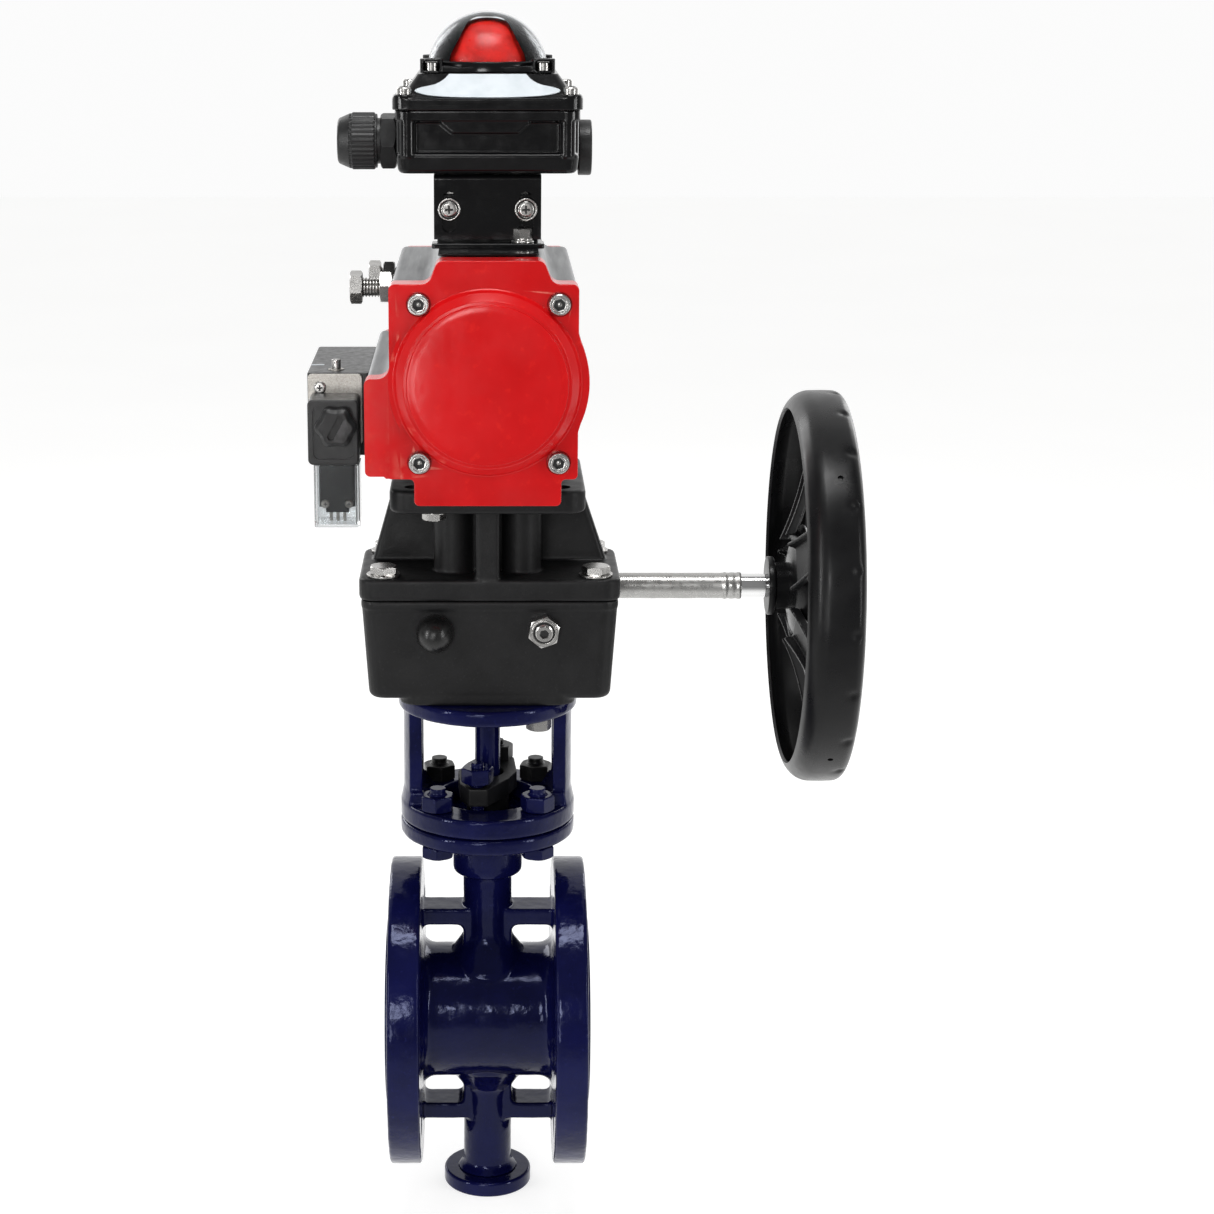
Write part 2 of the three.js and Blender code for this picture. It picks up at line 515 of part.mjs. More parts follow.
// The sleeve holds the worm off its own axis; a quarter turn moves the worm towards the wheel.
function declutchSleeve() {
  const at = [0, TUNNEL.y, TUNNEL.z];
  const { r, boreR, from, to, windowX } = SLEEVE;
  const wormRoom = rod(WORM.r + 0.5, -windowX, windowX, "x", [0, wormY, wormZ], MEDIUM);
  const bridge = prism(outline(SLEEVE.bridge), -windowX, windowX, "x");
  const keep = moved(bridge, ...at);
  const window = cut(rod(r + 1, -windowX, windowX, "x", at, MEDIUM), keep);
  const leverHole = leverRod(LEVER.r + 0.1, LEVER.from - GAP - 3);
  return cut(
    rod(r, from, to, "x", at, MEDIUM), rod(boreR, from - 1, to + 1, "x", [0, wormY, wormZ], MEDIUM),
    window, wormRoom, leverHole);
}

// A rod that leaves the sleeve half way between backwards and downwards.
function leverRod(r, from, to = LEVER.reach) {
  const upright = rod(r, from, to, "y", undefined, SMALL);
  return moved(upright.rotate([LEVER.tilt, 0, 0]), 0, TUNNEL.y, TUNNEL.z);
}

function declutchLever() {
  const [foot, shoulder, crown, tip] = LEVER.knob.map((along) => LEVER.reach + along);
  const knob = turned([
    [0, foot], [LEVER.neckR, foot], [LEVER.knobR, shoulder], [LEVER.knobR, crown],
    [LEVER.tipR, tip], [0, tip]], "y", undefined, MEDIUM);
  const knobAt = moved(knob.rotate([LEVER.tilt, 0, 0]), 0, TUNNEL.y, TUNNEL.z);
  return join(leverRod(LEVER.r, LEVER.from), knobAt);
}

function wormShaft() {
  const { r, rootR, journalR, shaftR, pitch, turns, from, to } = WORM;
  const start = (-pitch * turns) / 2;
  const profile = [[0, from], [journalR, from], [journalR, start - 1]];
  for (let turn = 0; turn < turns; turn += 1) {
    const x = start + turn * pitch;
    profile.push([rootR, x], [r, x + pitch * 0.3], [r, x + pitch * 0.6], [rootR, x + pitch * 0.9]);
  }
  const shoulder = SLEEVE.to + 1;
  profile.push(
    [rootR, -start], [journalR, -start + 1], [journalR, shoulder], [shaftR, shoulder],
    [shaftR, WHEEL.hubFrom - GAP], [journalR, WHEEL.hubFrom - GAP], [journalR, to], [0, to]);
  return turned(profile, "x", [0, wormY, wormZ], MEDIUM);
}

function stopScrew() {
  const at = [STOP_SCREW.x, 0, STOP_SCREW.z];
  const nutBack = -GEARBOX.halfY + 1 - GAP;
  return join(
    rod(STOP_SCREW.r, -STOP_SCREW.outer, -STOP_SCREW.inner, "y", at, SMALL),
    rod(STOP_SCREW.nutR, nutBack - STOP_SCREW.nutHeight, nutBack, "y", at, 6));
}

// A rubber cap over the other stop screw.
function stopScrewCap() {
  const at = [STOP_CAP.x, 0, STOP_CAP.z];
  const { r, frontR, crownR, length, steps } = STOP_CAP;
  const back = -GEARBOX.halfY + 1 - GAP;
  const front = back - length;
  const [tip, crown, skirt] = steps.map((along) => front + along);
  return turned([
    [0, front], [frontR, tip], [crownR, crown], [r, skirt], [r, back], [0, back]], "y", at, MEDIUM);
}

// ---------------------------------------------------------------- handwheel
function handwheel() {
  const at = [0, wormY, wormZ];
  const { lipX, farX, r, lipR, boreR, hubFrom, hubTo, hubR, flange, bossR } = WHEEL;
  const rim = turned([
    [lipR, lipX], [r - 3, lipX + 4], [r, lipX + 11], [r - 0.5, farX - 6], [r - 3, farX - 2], [r - 9, farX],
    [lipR - 5, farX - 4], [lipR - 6, farX - 11], [lipR - 3, farX - 11], [lipR - 1, farX - 6],
    [r - 8, farX - 5], [r - 5, lipX + 16], [r - 6.5, lipX + 9], [lipR - 2, lipX + 1.5], [lipR, lipX]],
    "x", at, 32);
  const hub = turned([
    [0, hubFrom], [hubR, hubFrom], [hubR, hubFrom + flange], [bossR, hubFrom + flange + 1],
    [bossR, hubTo], [0, hubTo]], "x", at, MEDIUM);
  const { count, halfWidth, side } = WHEEL_ARMS;
  const arm = prism(outline(side), -halfWidth, halfWidth, "z");
  const arms = Array.from({ length: count }, (_, i) => {
    const turn = 180 + (360 / count) * i;
    return moved(arm.rotate([turn, 0, 0]), 0, wormY, wormZ);
  });
  const nutRoom = rod(WHEEL_NUT.r + 1, hubTo, farX, "x", at, MEDIUM);
  return cut(join(rim, hub, arms), rod(boreR, 0, farX, "x", at, MEDIUM), nutRoom);
}

function wheelNut() {
  const at = [0, wormY, wormZ];
  const hex = rod(WHEEL_NUT.r, WHEEL.hubTo + GAP, WHEEL_NUT.to, "x", at, 6);
  return cut(hex, rod(WHEEL.boreR, WHEEL.hubTo, WHEEL_NUT.to + 1, "x", at, MEDIUM));
}

// ---------------------------------------------------------------- pneumatic actuator
const cylinderAt = [0, 0, CYLINDER.z];

// The extrusion's outline: shoulders, pads above and below, the solenoid's pad, a round belly.
function extrusion(from, to) {
  const slab = (left, right, low, high) => block([left, from, low], [right, to, high]);
  const { left, right, low, high } = SHOULDER;
  const belly = rod(CYLINDER.r, from, to, "y", cylinderAt);
  const beyond = block([-80, from - 1, CYLINDER.low], [left, to + 1, CYLINDER.high]);
  return join(
    slab(left, right, low, high), slab(TOP_PAD.left, TOP_PAD.right, high - 1, CYLINDER.high),
    slab(BOTTOM_PAD.left, BOTTOM_PAD.right, CYLINDER.low, low + 1),
    slab(VALVE_PAD.left, left + 1, VALVE_PAD.low, VALVE_PAD.high), cut(belly, beyond));
}

function cylinderBody() {
  const half = CYLINDER.halfLength;
  const bolts = [-1, 1].map((side) =>
    rod(STROKE_BOLT.r + GAP, -80, STROKE_BOLT.tip + 8, "x", [0, side * STROKE_BOLT.y, STROKE_BOLT.z], SMALL));
  return cut(
    extrusion(-half, half), rod(CYLINDER.boreR, -half - 1, half + 1, "y", cylinderAt, ROUND),
    rod(PINION.shaftR + GAP, CYLINDER.low - 1, CYLINDER.high + 1, "z", undefined, MEDIUM), bolts);
}

const mirrored = (shape, side) => (side < 0 ? shape : shape.mirror([0, 1, 0]));

// The cap is made for the front end and mirrored to the back.
function endCap(side) {
  const inner = -CYLINDER.halfLength - CAP.gasket;
  const face = inner - CAP.flange;
  const front = face - CAP.bulge;
  const bulge = turned(
    [[0, front], [CAP.faceR, front], [CAP.rootR, face], [CAP.rootR, face + 1], [0, face + 1]],
    "y", cylinderAt);
  const cavity = rod(CAP.cavityR, front + CAP.crown, inner + 1, "y", cylinderAt, ROUND);
  return mirrored(cut(join(extrusion(face, inner), bulge), cavity), side);
}

// Teeth are trapezoids of the rack's 20 degree pressure angle.
function rackTeeth(from, to) {
  const pitch = Math.PI * PINION.module;
  const { rootHalf, tipHalf, root, tip } = RACK_TOOTH;
  const points = [];
  for (let y = Math.ceil(from / pitch) * pitch; y <= to - rootHalf; y += pitch) {
    points.push([y - rootHalf, root], [y - tipHalf, tip], [y + tipHalf, tip], [y + rootHalf, root]);
  }
  return points.filter(([y]) => y > from + 0.5);
}

// The rear piston's rack passes the pinion on the +X side; the front one's passes on the other.
function piston(side) {
  const pitchR = (PINION.teeth * PINION.module) / 2;
  const { r, inner, thickness, armReach, armHalfHeight, armOuter, seatR, seatDepth } = PISTON;
  const head = rod(r, inner, inner + thickness, "y", cylinderAt, ROUND);
  const end = inner - armReach;
  const teeth = rackTeeth(end, inner).map(([y, depth]) => [pitchR + depth, y]);
  const arm = prism(
    outline([
      [armOuter, inner + 1], [armOuter, end], [pitchR + RACK_TOOTH.root, end], ...teeth,
      [pitchR + RACK_TOOTH.root, inner + 1]]),
    CYLINDER.z - armHalfHeight, CYLINDER.z + armHalfHeight, "z");
  const face = inner + thickness;
  const seat = rod(seatR, face - seatDepth, face + 1, "y", cylinderAt, MEDIUM);
  const whole = cut(join(head, arm), seat);
  return side > 0 ? whole : whole.rotate([0, 0, 180]);
}

// Involute flanks on the base circle of the pressure angle, thinned for backlash.
function pinionOutline() {
  const { teeth, module, pressureAngle, backlash, radii } = PINION;
  const pitchR = (teeth * module) / 2;
  const baseR = pitchR * Math.cos(pressureAngle);
  const involute = (r) => {
    const angle = Math.acos(Math.min(1, baseR / r));
    return Math.tan(angle) - angle;
  };
  const halfTooth = (r) => Math.PI / (2 * teeth) - backlash + involute(pitchR) - involute(r);
  const points = [];
  for (let tooth = 0; tooth < teeth; tooth += 1) {
    const middle = ((tooth + 0.5) * 2 * Math.PI) / teeth;
    const flank = radii.map((r) => [r, halfTooth(r)]);
    const place = ([r, angle]) => points.push([r * Math.cos(angle), r * Math.sin(angle)]);
    flank.forEach(([r, half]) => place([r, middle - half]));
    flank.reverse().forEach(([r, half]) => place([r, middle + half]));
  }
  return outline(points);
}

function pinion() {
  const { low, high, shaftR, bottom, top, neck, journalR, headR, slot } = PINION;
  const gear = prism(pinionOutline(), low, high, "z");
  const shoulder = CYLINDER.high + 0.5;
  const shaft = turned([
    [0, bottom], [shaftR, bottom], [shaftR, neck.low], [neck.r, neck.low + 1],
    [neck.r, neck.high - 1], [journalR, neck.high], [journalR, shoulder], [headR, shoulder],
    [headR, top], [0, top]], "z", undefined, MEDIUM);
  const half = DRIVE_SHAFT.square / 2 + GAP;
  const socket = block([-half, -half, bottom - 1], [half, half, DRIVE_SHAFT.high + GAP]);
  const [halfLength, halfWidth, depth] = slot;
  const groove = block([-halfLength, -halfWidth, top - depth], [halfLength, halfWidth, top + 1]);
  return cut(join(gear, shaft), socket, groove);
}

// Hex head, lock nut and thread that limits the stroke. The rear one is screwed in further.
function strokeBolt(side) {
  const at = [0, side * STROKE_BOLT.y, STROKE_BOLT.z];
  const { r, headR, headFrom, headTo, nutFrom, nutTo, tip, rearSetIn } = STROKE_BOLT;
  const setIn = side > 0 ? rearSetIn : 0;
  const head = rod(headR, headFrom, headTo, "x", at, 6);
  const thread = rod(r, headTo - 1, tip, "x", at, SMALL);
  const lockNut = rod(headR, nutFrom, nutTo - GAP, "x", at, 6);
  return join(moved(join(head, thread), setIn, 0, 0), lockNut);
}

class SpringCurve extends THREE.Curve {
  getPoint(t, target = new THREE.Vector3()) {
    const angle = t * SPRING.turns * 2 * Math.PI;
    const along = SPRING.from + t * (SPRING.to - SPRING.from - 2 * SPRING.wireR) + SPRING.wireR;
    return target.set(SPRING.coilR * Math.cos(angle), along, CYLINDER.z + SPRING.coilR * Math.sin(angle));
  }
}

function returnSpring(side) {
  const wire = outline(onCircle(SPRING.wireSides, SPRING.wireR));
  const extrudePath = new SpringCurve();
  const geometry = new THREE.ExtrudeGeometry(wire, { extrudePath, steps: SPRING.steps });
  return mirrored(solid(geometry), -side);
}

// ---------------------------------------------------------------- bracket and switch box
function bracket({ halfX, halfY, low, high, sheet }, plateAtTop) {
  const plate = plateAtTop ? [high - sheet, high] : [low, low + sheet];
  const walls = [-1, 1].map((side) => {
    const [near, far] = [side * (halfY - sheet), side * halfY].sort((a, b) => a - b);
    return block([-halfX, near, low], [halfX, far, high]);
  });
  const base = block([-halfX, -halfY, plate[0]], [halfX, halfY, plate[1]]);
  return cut(join(base, walls), rod(BRACKET_BORE_R, low - 1, high + 1, "z", undefined, MEDIUM));
}

const lowerBracket = () => bracket(LOWER_BRACKET, false);

function upperBracket() {
  const reach = UPPER_BRACKET.halfY + 1;
  const slots = [-SLOT.x, SLOT.x].map((x) => {
    const ends = [SLOT.low, SLOT.high].map((z) =>
      rod(SLOT.r, -reach, reach, "y", [x, 0, z], SMALL));
    return join(ends, block([x - SLOT.r, -reach, SLOT.low], [x + SLOT.r, reach, SLOT.high]));
  });
  return cut(bracket(UPPER_BRACKET, true), slots);
}

function boxShell({ halfX, halfY, corner }, low, high, wall, closedEnd) {
  const outer = prism(roundedRectangle(-halfX, halfX, -halfY, halfY, corner), low, high, "z", 3);
  const innerShape = roundedRectangle(wall - halfX, halfX - wall, wall - halfY, halfY - wall, corner - 2);
  const [from, to] = closedEnd === "low" ? [low + wall, high + 1] : [low - 1, high - wall];
  return cut(outer, prism(innerShape, from, to, "z", 3));
}

function switchHousing() {
  const { low, high, wall } = BOX;
  return cut(
    boxShell(BOX, low, high, wall, "low"), rod(SWITCH_SHAFT.r + 0.5, low - 1, high, "z", undefined, MEDIUM),
    rod(PORT_R, -BOX.halfX - 1, 0, "x", [0, 0, GLAND.z], MEDIUM),
    rod(PORT_R, 0, BOX.halfX + 1, "x", [0, 0, PLUG.z], MEDIUM));
}

function switchCover() {
  const { rimHalfX, rimHalfY, low, rim, top, topHalf, corner, wall } = LID;
  const slope = (inset, topInset, from, to) => frustum(
    [inset - rimHalfX, rimHalfX - inset, inset - rimHalfY, rimHalfY - inset, from],
    [topInset - topHalf, topHalf - topInset, topInset - topHalf, topHalf - topInset, to]);
  const skirt = prism(
    roundedRectangle(-rimHalfX, rimHalfX, -rimHalfY, rimHalfY, corner), low, rim, "z", 3);
  const roof = slope(wall, 0, rim - 0.5, top);
  const inside = slope(2 * wall, wall + 1, low - 1, top - wall);
  return cut(
    join(skirt, roof), inside, rod(SWITCH_SHAFT.r + 0.5, low, top + 1, "z", undefined, MEDIUM));
}

// Points of a quarter circle that climbs from the given angle to the pole.
function domeArc(r, centreZ, from, steps) {
  const points = Array.from({ length: steps }, (_, i) => {
    const rise = (from + ((90 - from) * i) / steps) * (Math.PI / 180);
    return [r * Math.cos(rise), centreZ + r * Math.sin(rise)];
  });
  return [...points, [0, centreZ + r]];
}

// Clear shell: a part sphere on a round skirt, with a square mounting flange.
function dome() {
  const { r, centreZ, baseR, wall, flangeHalf, flange, outerFrom, innerFrom } = DOME;
  const foot = LID.top + GAP;
  const innerR = r - wall;
  const outer = turned(
    [[0, foot], [baseR, foot], [baseR, flange], ...domeArc(r, centreZ, outerFrom, 6)],
    "z", undefined, DOME_SIDES);
  const inner = turned(
    [[0, foot - 1], [innerR, foot - 1], ...domeArc(innerR, centreZ, innerFrom, 6)],
    "z", undefined, DOME_SIDES);
  const plate = block([-flangeHalf, -flangeHalf, foot], [flangeHalf, flangeHalf, flange]);
  return cut(join(outer, plate), inner);
}

function indicatorRotor() {
  const { r, centreZ, low, from } = ROTOR;
  return turned([[0, low], [r, low], ...domeArc(r, centreZ, from, 5)], "z", undefined, DOME_SIDES);
}

function switchShaft() {
  const { r, low, high, tang, camR, camHeight, camOffset, cams } = SWITCH_SHAFT;
  const blade = block([-tang.halfX, -tang.halfY, low], [tang.halfX, tang.halfY, low + tang.height]);
  const shaft = rod(r, low + tang.height - 2, high, "z", undefined, MEDIUM);
  const beyond = tube(2 * tang.tipR, tang.tipR, low - 1, low + tang.height + 1, "z", undefined, MEDIUM);
  const discs = cams.map((z) => rod(camR, z, z + camHeight, "z", [camOffset, 0, 0], MEDIUM));
  return join(cut(blade, beyond), shaft, discs);
}

// Beside one cam each: the closed switch on the +X side, the open one on the other.
function microswitch(cam, side) {
  const { width, depth, height, x, below } = MICROSWITCH;
  const z = cam - below;
  const [near, far] = [side * x, side * (x + width)].sort((a, b) => a - b);
  return block([near, -depth / 2, z], [far, depth / 2, z + height]);
}

function cableGland() {
  const at = [0, 0, GLAND.z];
  const { r, hexR, boreR, threadR, hexFrom, hexTo, nutTo, end, crown, rise } = GLAND;
  const nut = turned([
    [boreR, nutTo], [crown[0], nutTo], [crown[1], nutTo + rise[0]], [r, nutTo + rise[1]],
    [r, hexTo + 1], [boreR, hexTo + 1], [boreR, nutTo]], "x", at, MEDIUM);
  const hex = tube(hexR, boreR, hexTo, hexFrom, "x", at, 6);
  const thread = tube(threadR, boreR, hexTo, end, "x", at, MEDIUM);
  return join(nut, hex, thread);
}

function blankingPlug() {
  const at = [0, 0, PLUG.z];
  const head = rod(PLUG.r, BOX.halfX + GAP, PLUG.to, "x", at, MEDIUM);
  const thread = rod(GLAND.threadR, BOX.halfX - 6, BOX.halfX + 1, "x", at, MEDIUM);
  return join(head, thread);
}

// ---------------------------------------------------------------- pilot solenoid valve
const slab = ({ left, right, front, back, low, high }) => block([left, front, low], [right, back, high]);

function solenoidBody() {
  const { x, y, r, floor, high } = OVERRIDE;
  const pinHole = rod(r + GAP, floor, high, "z", [x, y, 0], SMALL);
  return cut(slab(SOLENOID_BODY), pinHole);
}

// The coil slips on the armature tube, so a bore runs through it.
const solenoidCoil = () => cut(
  slab(COIL),
  rod(COIL_NUT.tubeR + GAP, COIL.front - 1, COIL.back + 1, "y", [COIL_NUT.x, 0, COIL_NUT.z], SMALL));

function coilNut() {
  const at = [COIL_NUT.x, 0, COIL_NUT.z];
  const knob = rod(COIL_NUT.r, COIL_NUT.front, COIL.front - GAP, "y", at, COIL_NUT.sides);
  const tubeInside = rod(COIL_NUT.tubeR, COIL.front - 1, COIL.back, "y", at, SMALL);
  return join(knob, tubeInside);
}

const overrideButton = () =>
  rod(OVERRIDE.r, OVERRIDE.low, OVERRIDE.high, "z", [OVERRIDE.x, OVERRIDE.y, 0], SMALL);

// ---------------------------------------------------------------- assembly
function addValve() {
  addPart("valve_body", valveBody(), BLUE);
  addPart("bottom_cover", bottomCover(), BLUE);
  addPart("seat_ring", seatRing(), STEEL);
  addPart("disc", disc(), STEEL);
  addPart("disc_seal_ring", discSealRing(), STEEL);
  addPart("disc_clamp_ring", discSlice(DISC_CLAMP), STEEL);
  addPart("stem", stem(), BLUE);
  addPart("disc_pin", discPin(), STEEL);
  addPart("lower_bush", bush(BUSH.lower), BRONZE);
  addPart("upper_bush", bush(BUSH.upper), BRONZE);
  addPart("packing", packing(), GRAPHITE);
  addPart("gland_follower", glandFollower(), BLACK_PAINT);
  addPart("gland_plate", glandPlate(), BLACK_PAINT);
  const [front, rear] = glandStudPlaces();
  addPart("gland_stud_front", glandStud(front), BLUE);
  addPart("gland_stud_rear", glandStud(rear), BLACK_PAINT);
  addPart("yoke", yoke(), BLUE);
  corners(YOKE_BOLTS.at, YOKE_BOLTS.at).forEach(([x, y], i) =>
    addPart(`yoke_bolt_${i + 1}`, yokeBolt(x, y), y < 0 ? BLUE : BLACK_PAINT));
}

function addGearbox() {
  addPart("gearbox_housing", gearboxHousing(), BLACK_PAINT);
  addPart("gearbox_cover", gearboxCover(), BLACK_PAINT);
  coverBoltPlaces().forEach((place, i) => addPart(`cover_bolt_${i + 1}`, coverBolt(place), STEEL));
  addPart("worm_wheel", wormWheel(), STEEL);
  addPart("worm_shaft", wormShaft(), CHROME);
  addPart("declutch_sleeve", declutchSleeve(), STEEL);
  addPart("declutch_lever", declutchLever(), BLACK_PAINT);
  addPart("stop_screw", stopScrew(), STEEL);
  addPart("stop_screw_cap", stopScrewCap(), PLASTIC);
  addPart("handwheel", handwheel(), BLACK_PAINT);
  addPart("handwheel_nut", wheelNut(), STEEL);
}

function addActuator() {
  addPart("cylinder_body", cylinderBody(), ALUMINIUM);
  addPart("pinion", pinion(), STEEL);
  for (const [name, side] of [["front", -1], ["rear", 1]]) {
    addPart(`${name}_end_cap`, endCap(side), RED);
    addPart(`${name}_piston`, piston(side), ALUMINIUM);
    addPart(`${name}_spring`, returnSpring(side), STEEL);
    addPart(`${name}_stroke_bolt`, strokeBolt(side), STEEL);
  }
}

function addSwitchBox() {
  addPart("lower_bracket", lowerBracket(), BLACK_BOX);
  addPart("upper_bracket", upperBracket(), BLACK_BOX);
  addPart("switch_housing", switchHousing(), BLACK_BOX);
  addPart("switch_cover", switchCover(), BLACK_BOX);
  addPart("indicator_dome", dome(), CLEAR);
  addPart("indicator_rotor", indicatorRotor(), SIGNAL_RED);
  addPart("switch_shaft", switchShaft(), STEEL);
  const [closedCam, openCam] = SWITCH_SHAFT.cams;
  addPart("microswitch_closed", microswitch(closedCam, 1), PLASTIC);
  addPart("microswitch_open", microswitch(openCam, -1), PLASTIC);
  addPart("cable_gland", cableGland(), PLASTIC);
  addPart("blanking_plug", blankingPlug(), PLASTIC);
}

function addSolenoidValve() {
  addPart("solenoid_body", solenoidBody(), PLASTIC);
  addPart("solenoid_coil", solenoidCoil(), PLASTIC);
  addPart("coil_nut", coilNut(), PLASTIC);
  addPart("coil_connector", slab(CONNECTOR), CLEAR);
  addPart("override_button", overrideButton(), STEEL);
}

addValve();
addGearbox();
addActuator();
addSwitchBox();
addSolenoidValve();

export default assembly;
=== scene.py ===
"""Looks for an automated butterfly valve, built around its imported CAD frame.

Shapes are drawn in millimetres in the row frame, and become metres when a mesh is made into a
piece: +Z is up along the stem, +X runs along the pipe towards the handwheel, +Y is the back.
"""
import json
import math

import bmesh
import bpy
from mathutils import Matrix, Vector, noise
from mathutils.geometry import convex_hull_2d


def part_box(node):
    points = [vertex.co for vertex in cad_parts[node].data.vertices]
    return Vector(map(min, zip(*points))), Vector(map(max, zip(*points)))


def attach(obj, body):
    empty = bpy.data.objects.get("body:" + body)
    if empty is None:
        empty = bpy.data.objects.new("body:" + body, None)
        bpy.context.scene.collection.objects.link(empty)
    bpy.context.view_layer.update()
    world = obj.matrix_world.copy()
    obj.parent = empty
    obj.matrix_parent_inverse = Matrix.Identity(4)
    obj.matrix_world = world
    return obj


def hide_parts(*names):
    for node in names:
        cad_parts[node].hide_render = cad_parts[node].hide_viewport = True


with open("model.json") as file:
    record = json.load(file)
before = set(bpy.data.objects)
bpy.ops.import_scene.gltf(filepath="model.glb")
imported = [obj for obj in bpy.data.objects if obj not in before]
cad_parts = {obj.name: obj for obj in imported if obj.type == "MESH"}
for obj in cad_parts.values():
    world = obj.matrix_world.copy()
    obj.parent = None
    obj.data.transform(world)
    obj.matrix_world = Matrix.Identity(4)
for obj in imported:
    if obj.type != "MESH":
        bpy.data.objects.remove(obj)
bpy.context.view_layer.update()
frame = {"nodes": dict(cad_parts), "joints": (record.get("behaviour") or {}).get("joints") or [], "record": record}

MM = 0.001
TURN = 2 * math.pi
CORNERS = [(x, y) for x in (-1, 1) for y in (-1, 1)]
DIAGONALS = [math.radians(45 + 90 * i) for i in range(4)]
NODE_BODY = {node: body for body, nodes in frame["record"]["behaviour"]["bodies"].items()
             for node in nodes}
JOINTS = {joint["name"]: joint for joint in frame["joints"]}


def span(node):
    """Lowest and highest corner of a CAD node, in millimetres."""
    low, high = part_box(node)
    return low / MM, high / MM


def middle(node):
    low, high = span(node)
    return (low + high) / 2


# ------------------------------------------------------------------ mesh kit
AXES = {
    "x": Matrix(((0, 0, 1, 0), (1, 0, 0, 0), (0, 1, 0, 0), (0, 0, 0, 1))),
    "y": Matrix(((1, 0, 0, 0), (0, 0, 1, 0), (0, 1, 0, 0), (0, 0, 0, 1))),
    "z": Matrix.Identity(4),
}


def mesh_from(bm):
    bmesh.ops.recalc_face_normals(bm, faces=bm.faces)
    mesh = bpy.data.meshes.new("solid")
    bm.to_mesh(mesh)
    bm.free()
    return mesh


def lathe(profile, axis="z", at=(0, 0, 0), sides=96, shape=None):
    """Turns (radius, height) points about an axis. The profile starts and ends on the axis or
    closes on itself. shape(radius, height, angle), if given, returns the radius to use."""
    ring = profile[0] == profile[-1]
    bm = bmesh.new()
    rows = []
    for radius, height in profile[:-1] if ring else profile:
        row = []
        for i in range(sides if radius > 0 else 1):
            angle = TURN * i / sides
            reach = shape(radius, height, angle) if shape else radius
            row.append(bm.verts.new((reach * math.cos(angle), reach * math.sin(angle), height)))
        rows.append(row)
    pairs = list(zip(rows, rows[1:])) + ([(rows[-1], rows[0])] if ring else [])
    for low, high in pairs:
        for i in range(sides):
            j = (i + 1) % sides
            loop = dict.fromkeys([
                low[i % len(low)], low[j % len(low)], high[j % len(high)], high[i % len(high)]])
            if len(loop) > 2:
                bm.faces.new(list(loop))
    bm.transform(AXES[axis])
    bmesh.ops.translate(bm, verts=bm.verts, vec=at)
    return mesh_from(bm)


def fillet(points, steps=5, closed=True):
    """Turns each corner (u, v, radius) into an arc of that radius. (u, v) corners stay sharp."""
    done = []
    count = len(points)
    for i, point in enumerate(points):
        corner = Vector(point[:2])
        if len(point) < 3 or (not closed and i in (0, count - 1)):
            done.append(tuple(corner))
            continue
        to_last = Vector(points[i - 1][:2]) - corner
        to_next = Vector(points[(i + 1) % count][:2]) - corner
        half = to_last.angle(to_next) / 2
        reach = min(point[2] / math.tan(half), 0.49 * to_last.length, 0.49 * to_next.length)
        radius = reach * math.tan(half)
        inward = (to_last.normalized() + to_next.normalized()).normalized()
        centre = corner + inward * (radius / math.sin(half))
        start = corner + to_last.normalized() * reach - centre
        end = corner + to_next.normalized() * reach - centre
        first = math.atan2(start.y, start.x)
        sweep = (math.atan2(end.y, end.x) - first + math.pi) % TURN - math.pi
        for k in range(steps + 1):
            angle = first + sweep * k / steps
            done.append((centre.x + radius * math.cos(angle), centre.y + radius * math.sin(angle)))
    return done


def profile(*points, steps=4):
    """An open lathe profile with filleted corners."""
    return fillet(points, steps, closed=False)


def arc(centre, radius, first, last, steps=12):
    """Points on an arc, in degrees from the first axis."""
    angles = [math.radians(first + (last - first) * i / steps) for i in range(steps + 1)]
    return [(centre[0] + radius * math.cos(a), centre[1] + radius * math.sin(a)) for a in angles]


def rectangle(left, right, low, high, radius=None, steps=5):
    points = [(left, low), (right, low), (right, high), (left, high)]
    if radius is None:
        return points
    return fillet([(u, v, radius) for u, v in points], steps)


def prism(points, low, high, axis="z"):
    """Extrudes an outline along an axis: it is drawn in YZ for x, in XZ for y and in XY for z."""
    bm = bmesh.new()
    base = [bm.verts.new((u, v, low)) for u, v in points]
    top = [bm.verts.new((u, v, high)) for u, v in points]
    bm.faces.new(base)
    bm.faces.new(top)
    for i in range(len(points)):
        j = (i + 1) % len(points)
        bm.faces.new((base[i], base[j], top[j], top[i]))
    bm.transform(AXES[axis])
    return mesh_from(bm)


def box(low, high, radius=None, axis="z", steps=5):
    """A block, with its edges along the named axis rounded by radius."""
    u, v, w = {"x": (1, 2, 0), "y": (0, 2, 1), "z": (0, 1, 2)}[axis]
    outline = rectangle(low[u], high[u], low[v], high[v], radius, steps)
    return prism(outline, low[w], high[w], axis)


def loft(lower, upper, low, high):
    """Joins two outlines with the same number of points, at two heights."""
    bm = bmesh.new()
    base = [bm.verts.new((u, v, low)) for u, v in lower]
    top = [bm.verts.new((u, v, high)) for u, v in upper]
    bm.faces.new(base)
    bm.faces.new(top)
    for i in range(len(base)):
        j = (i + 1) % len(base)
        bm.faces.new((base[i], base[j], top[j], top[i]))
    return mesh_from(bm)


def rod(radius, low, high, axis="z", at=(0, 0, 0), edge=0.0, sides=64):
    if not edge:
        return lathe([(0, low), (radius, low), (radius, high), (0, high)], axis, at, sides)
    return lathe(profile((0, low), (radius, low, edge), (radius, high, edge), (0, high)),
                 axis, at, sides)


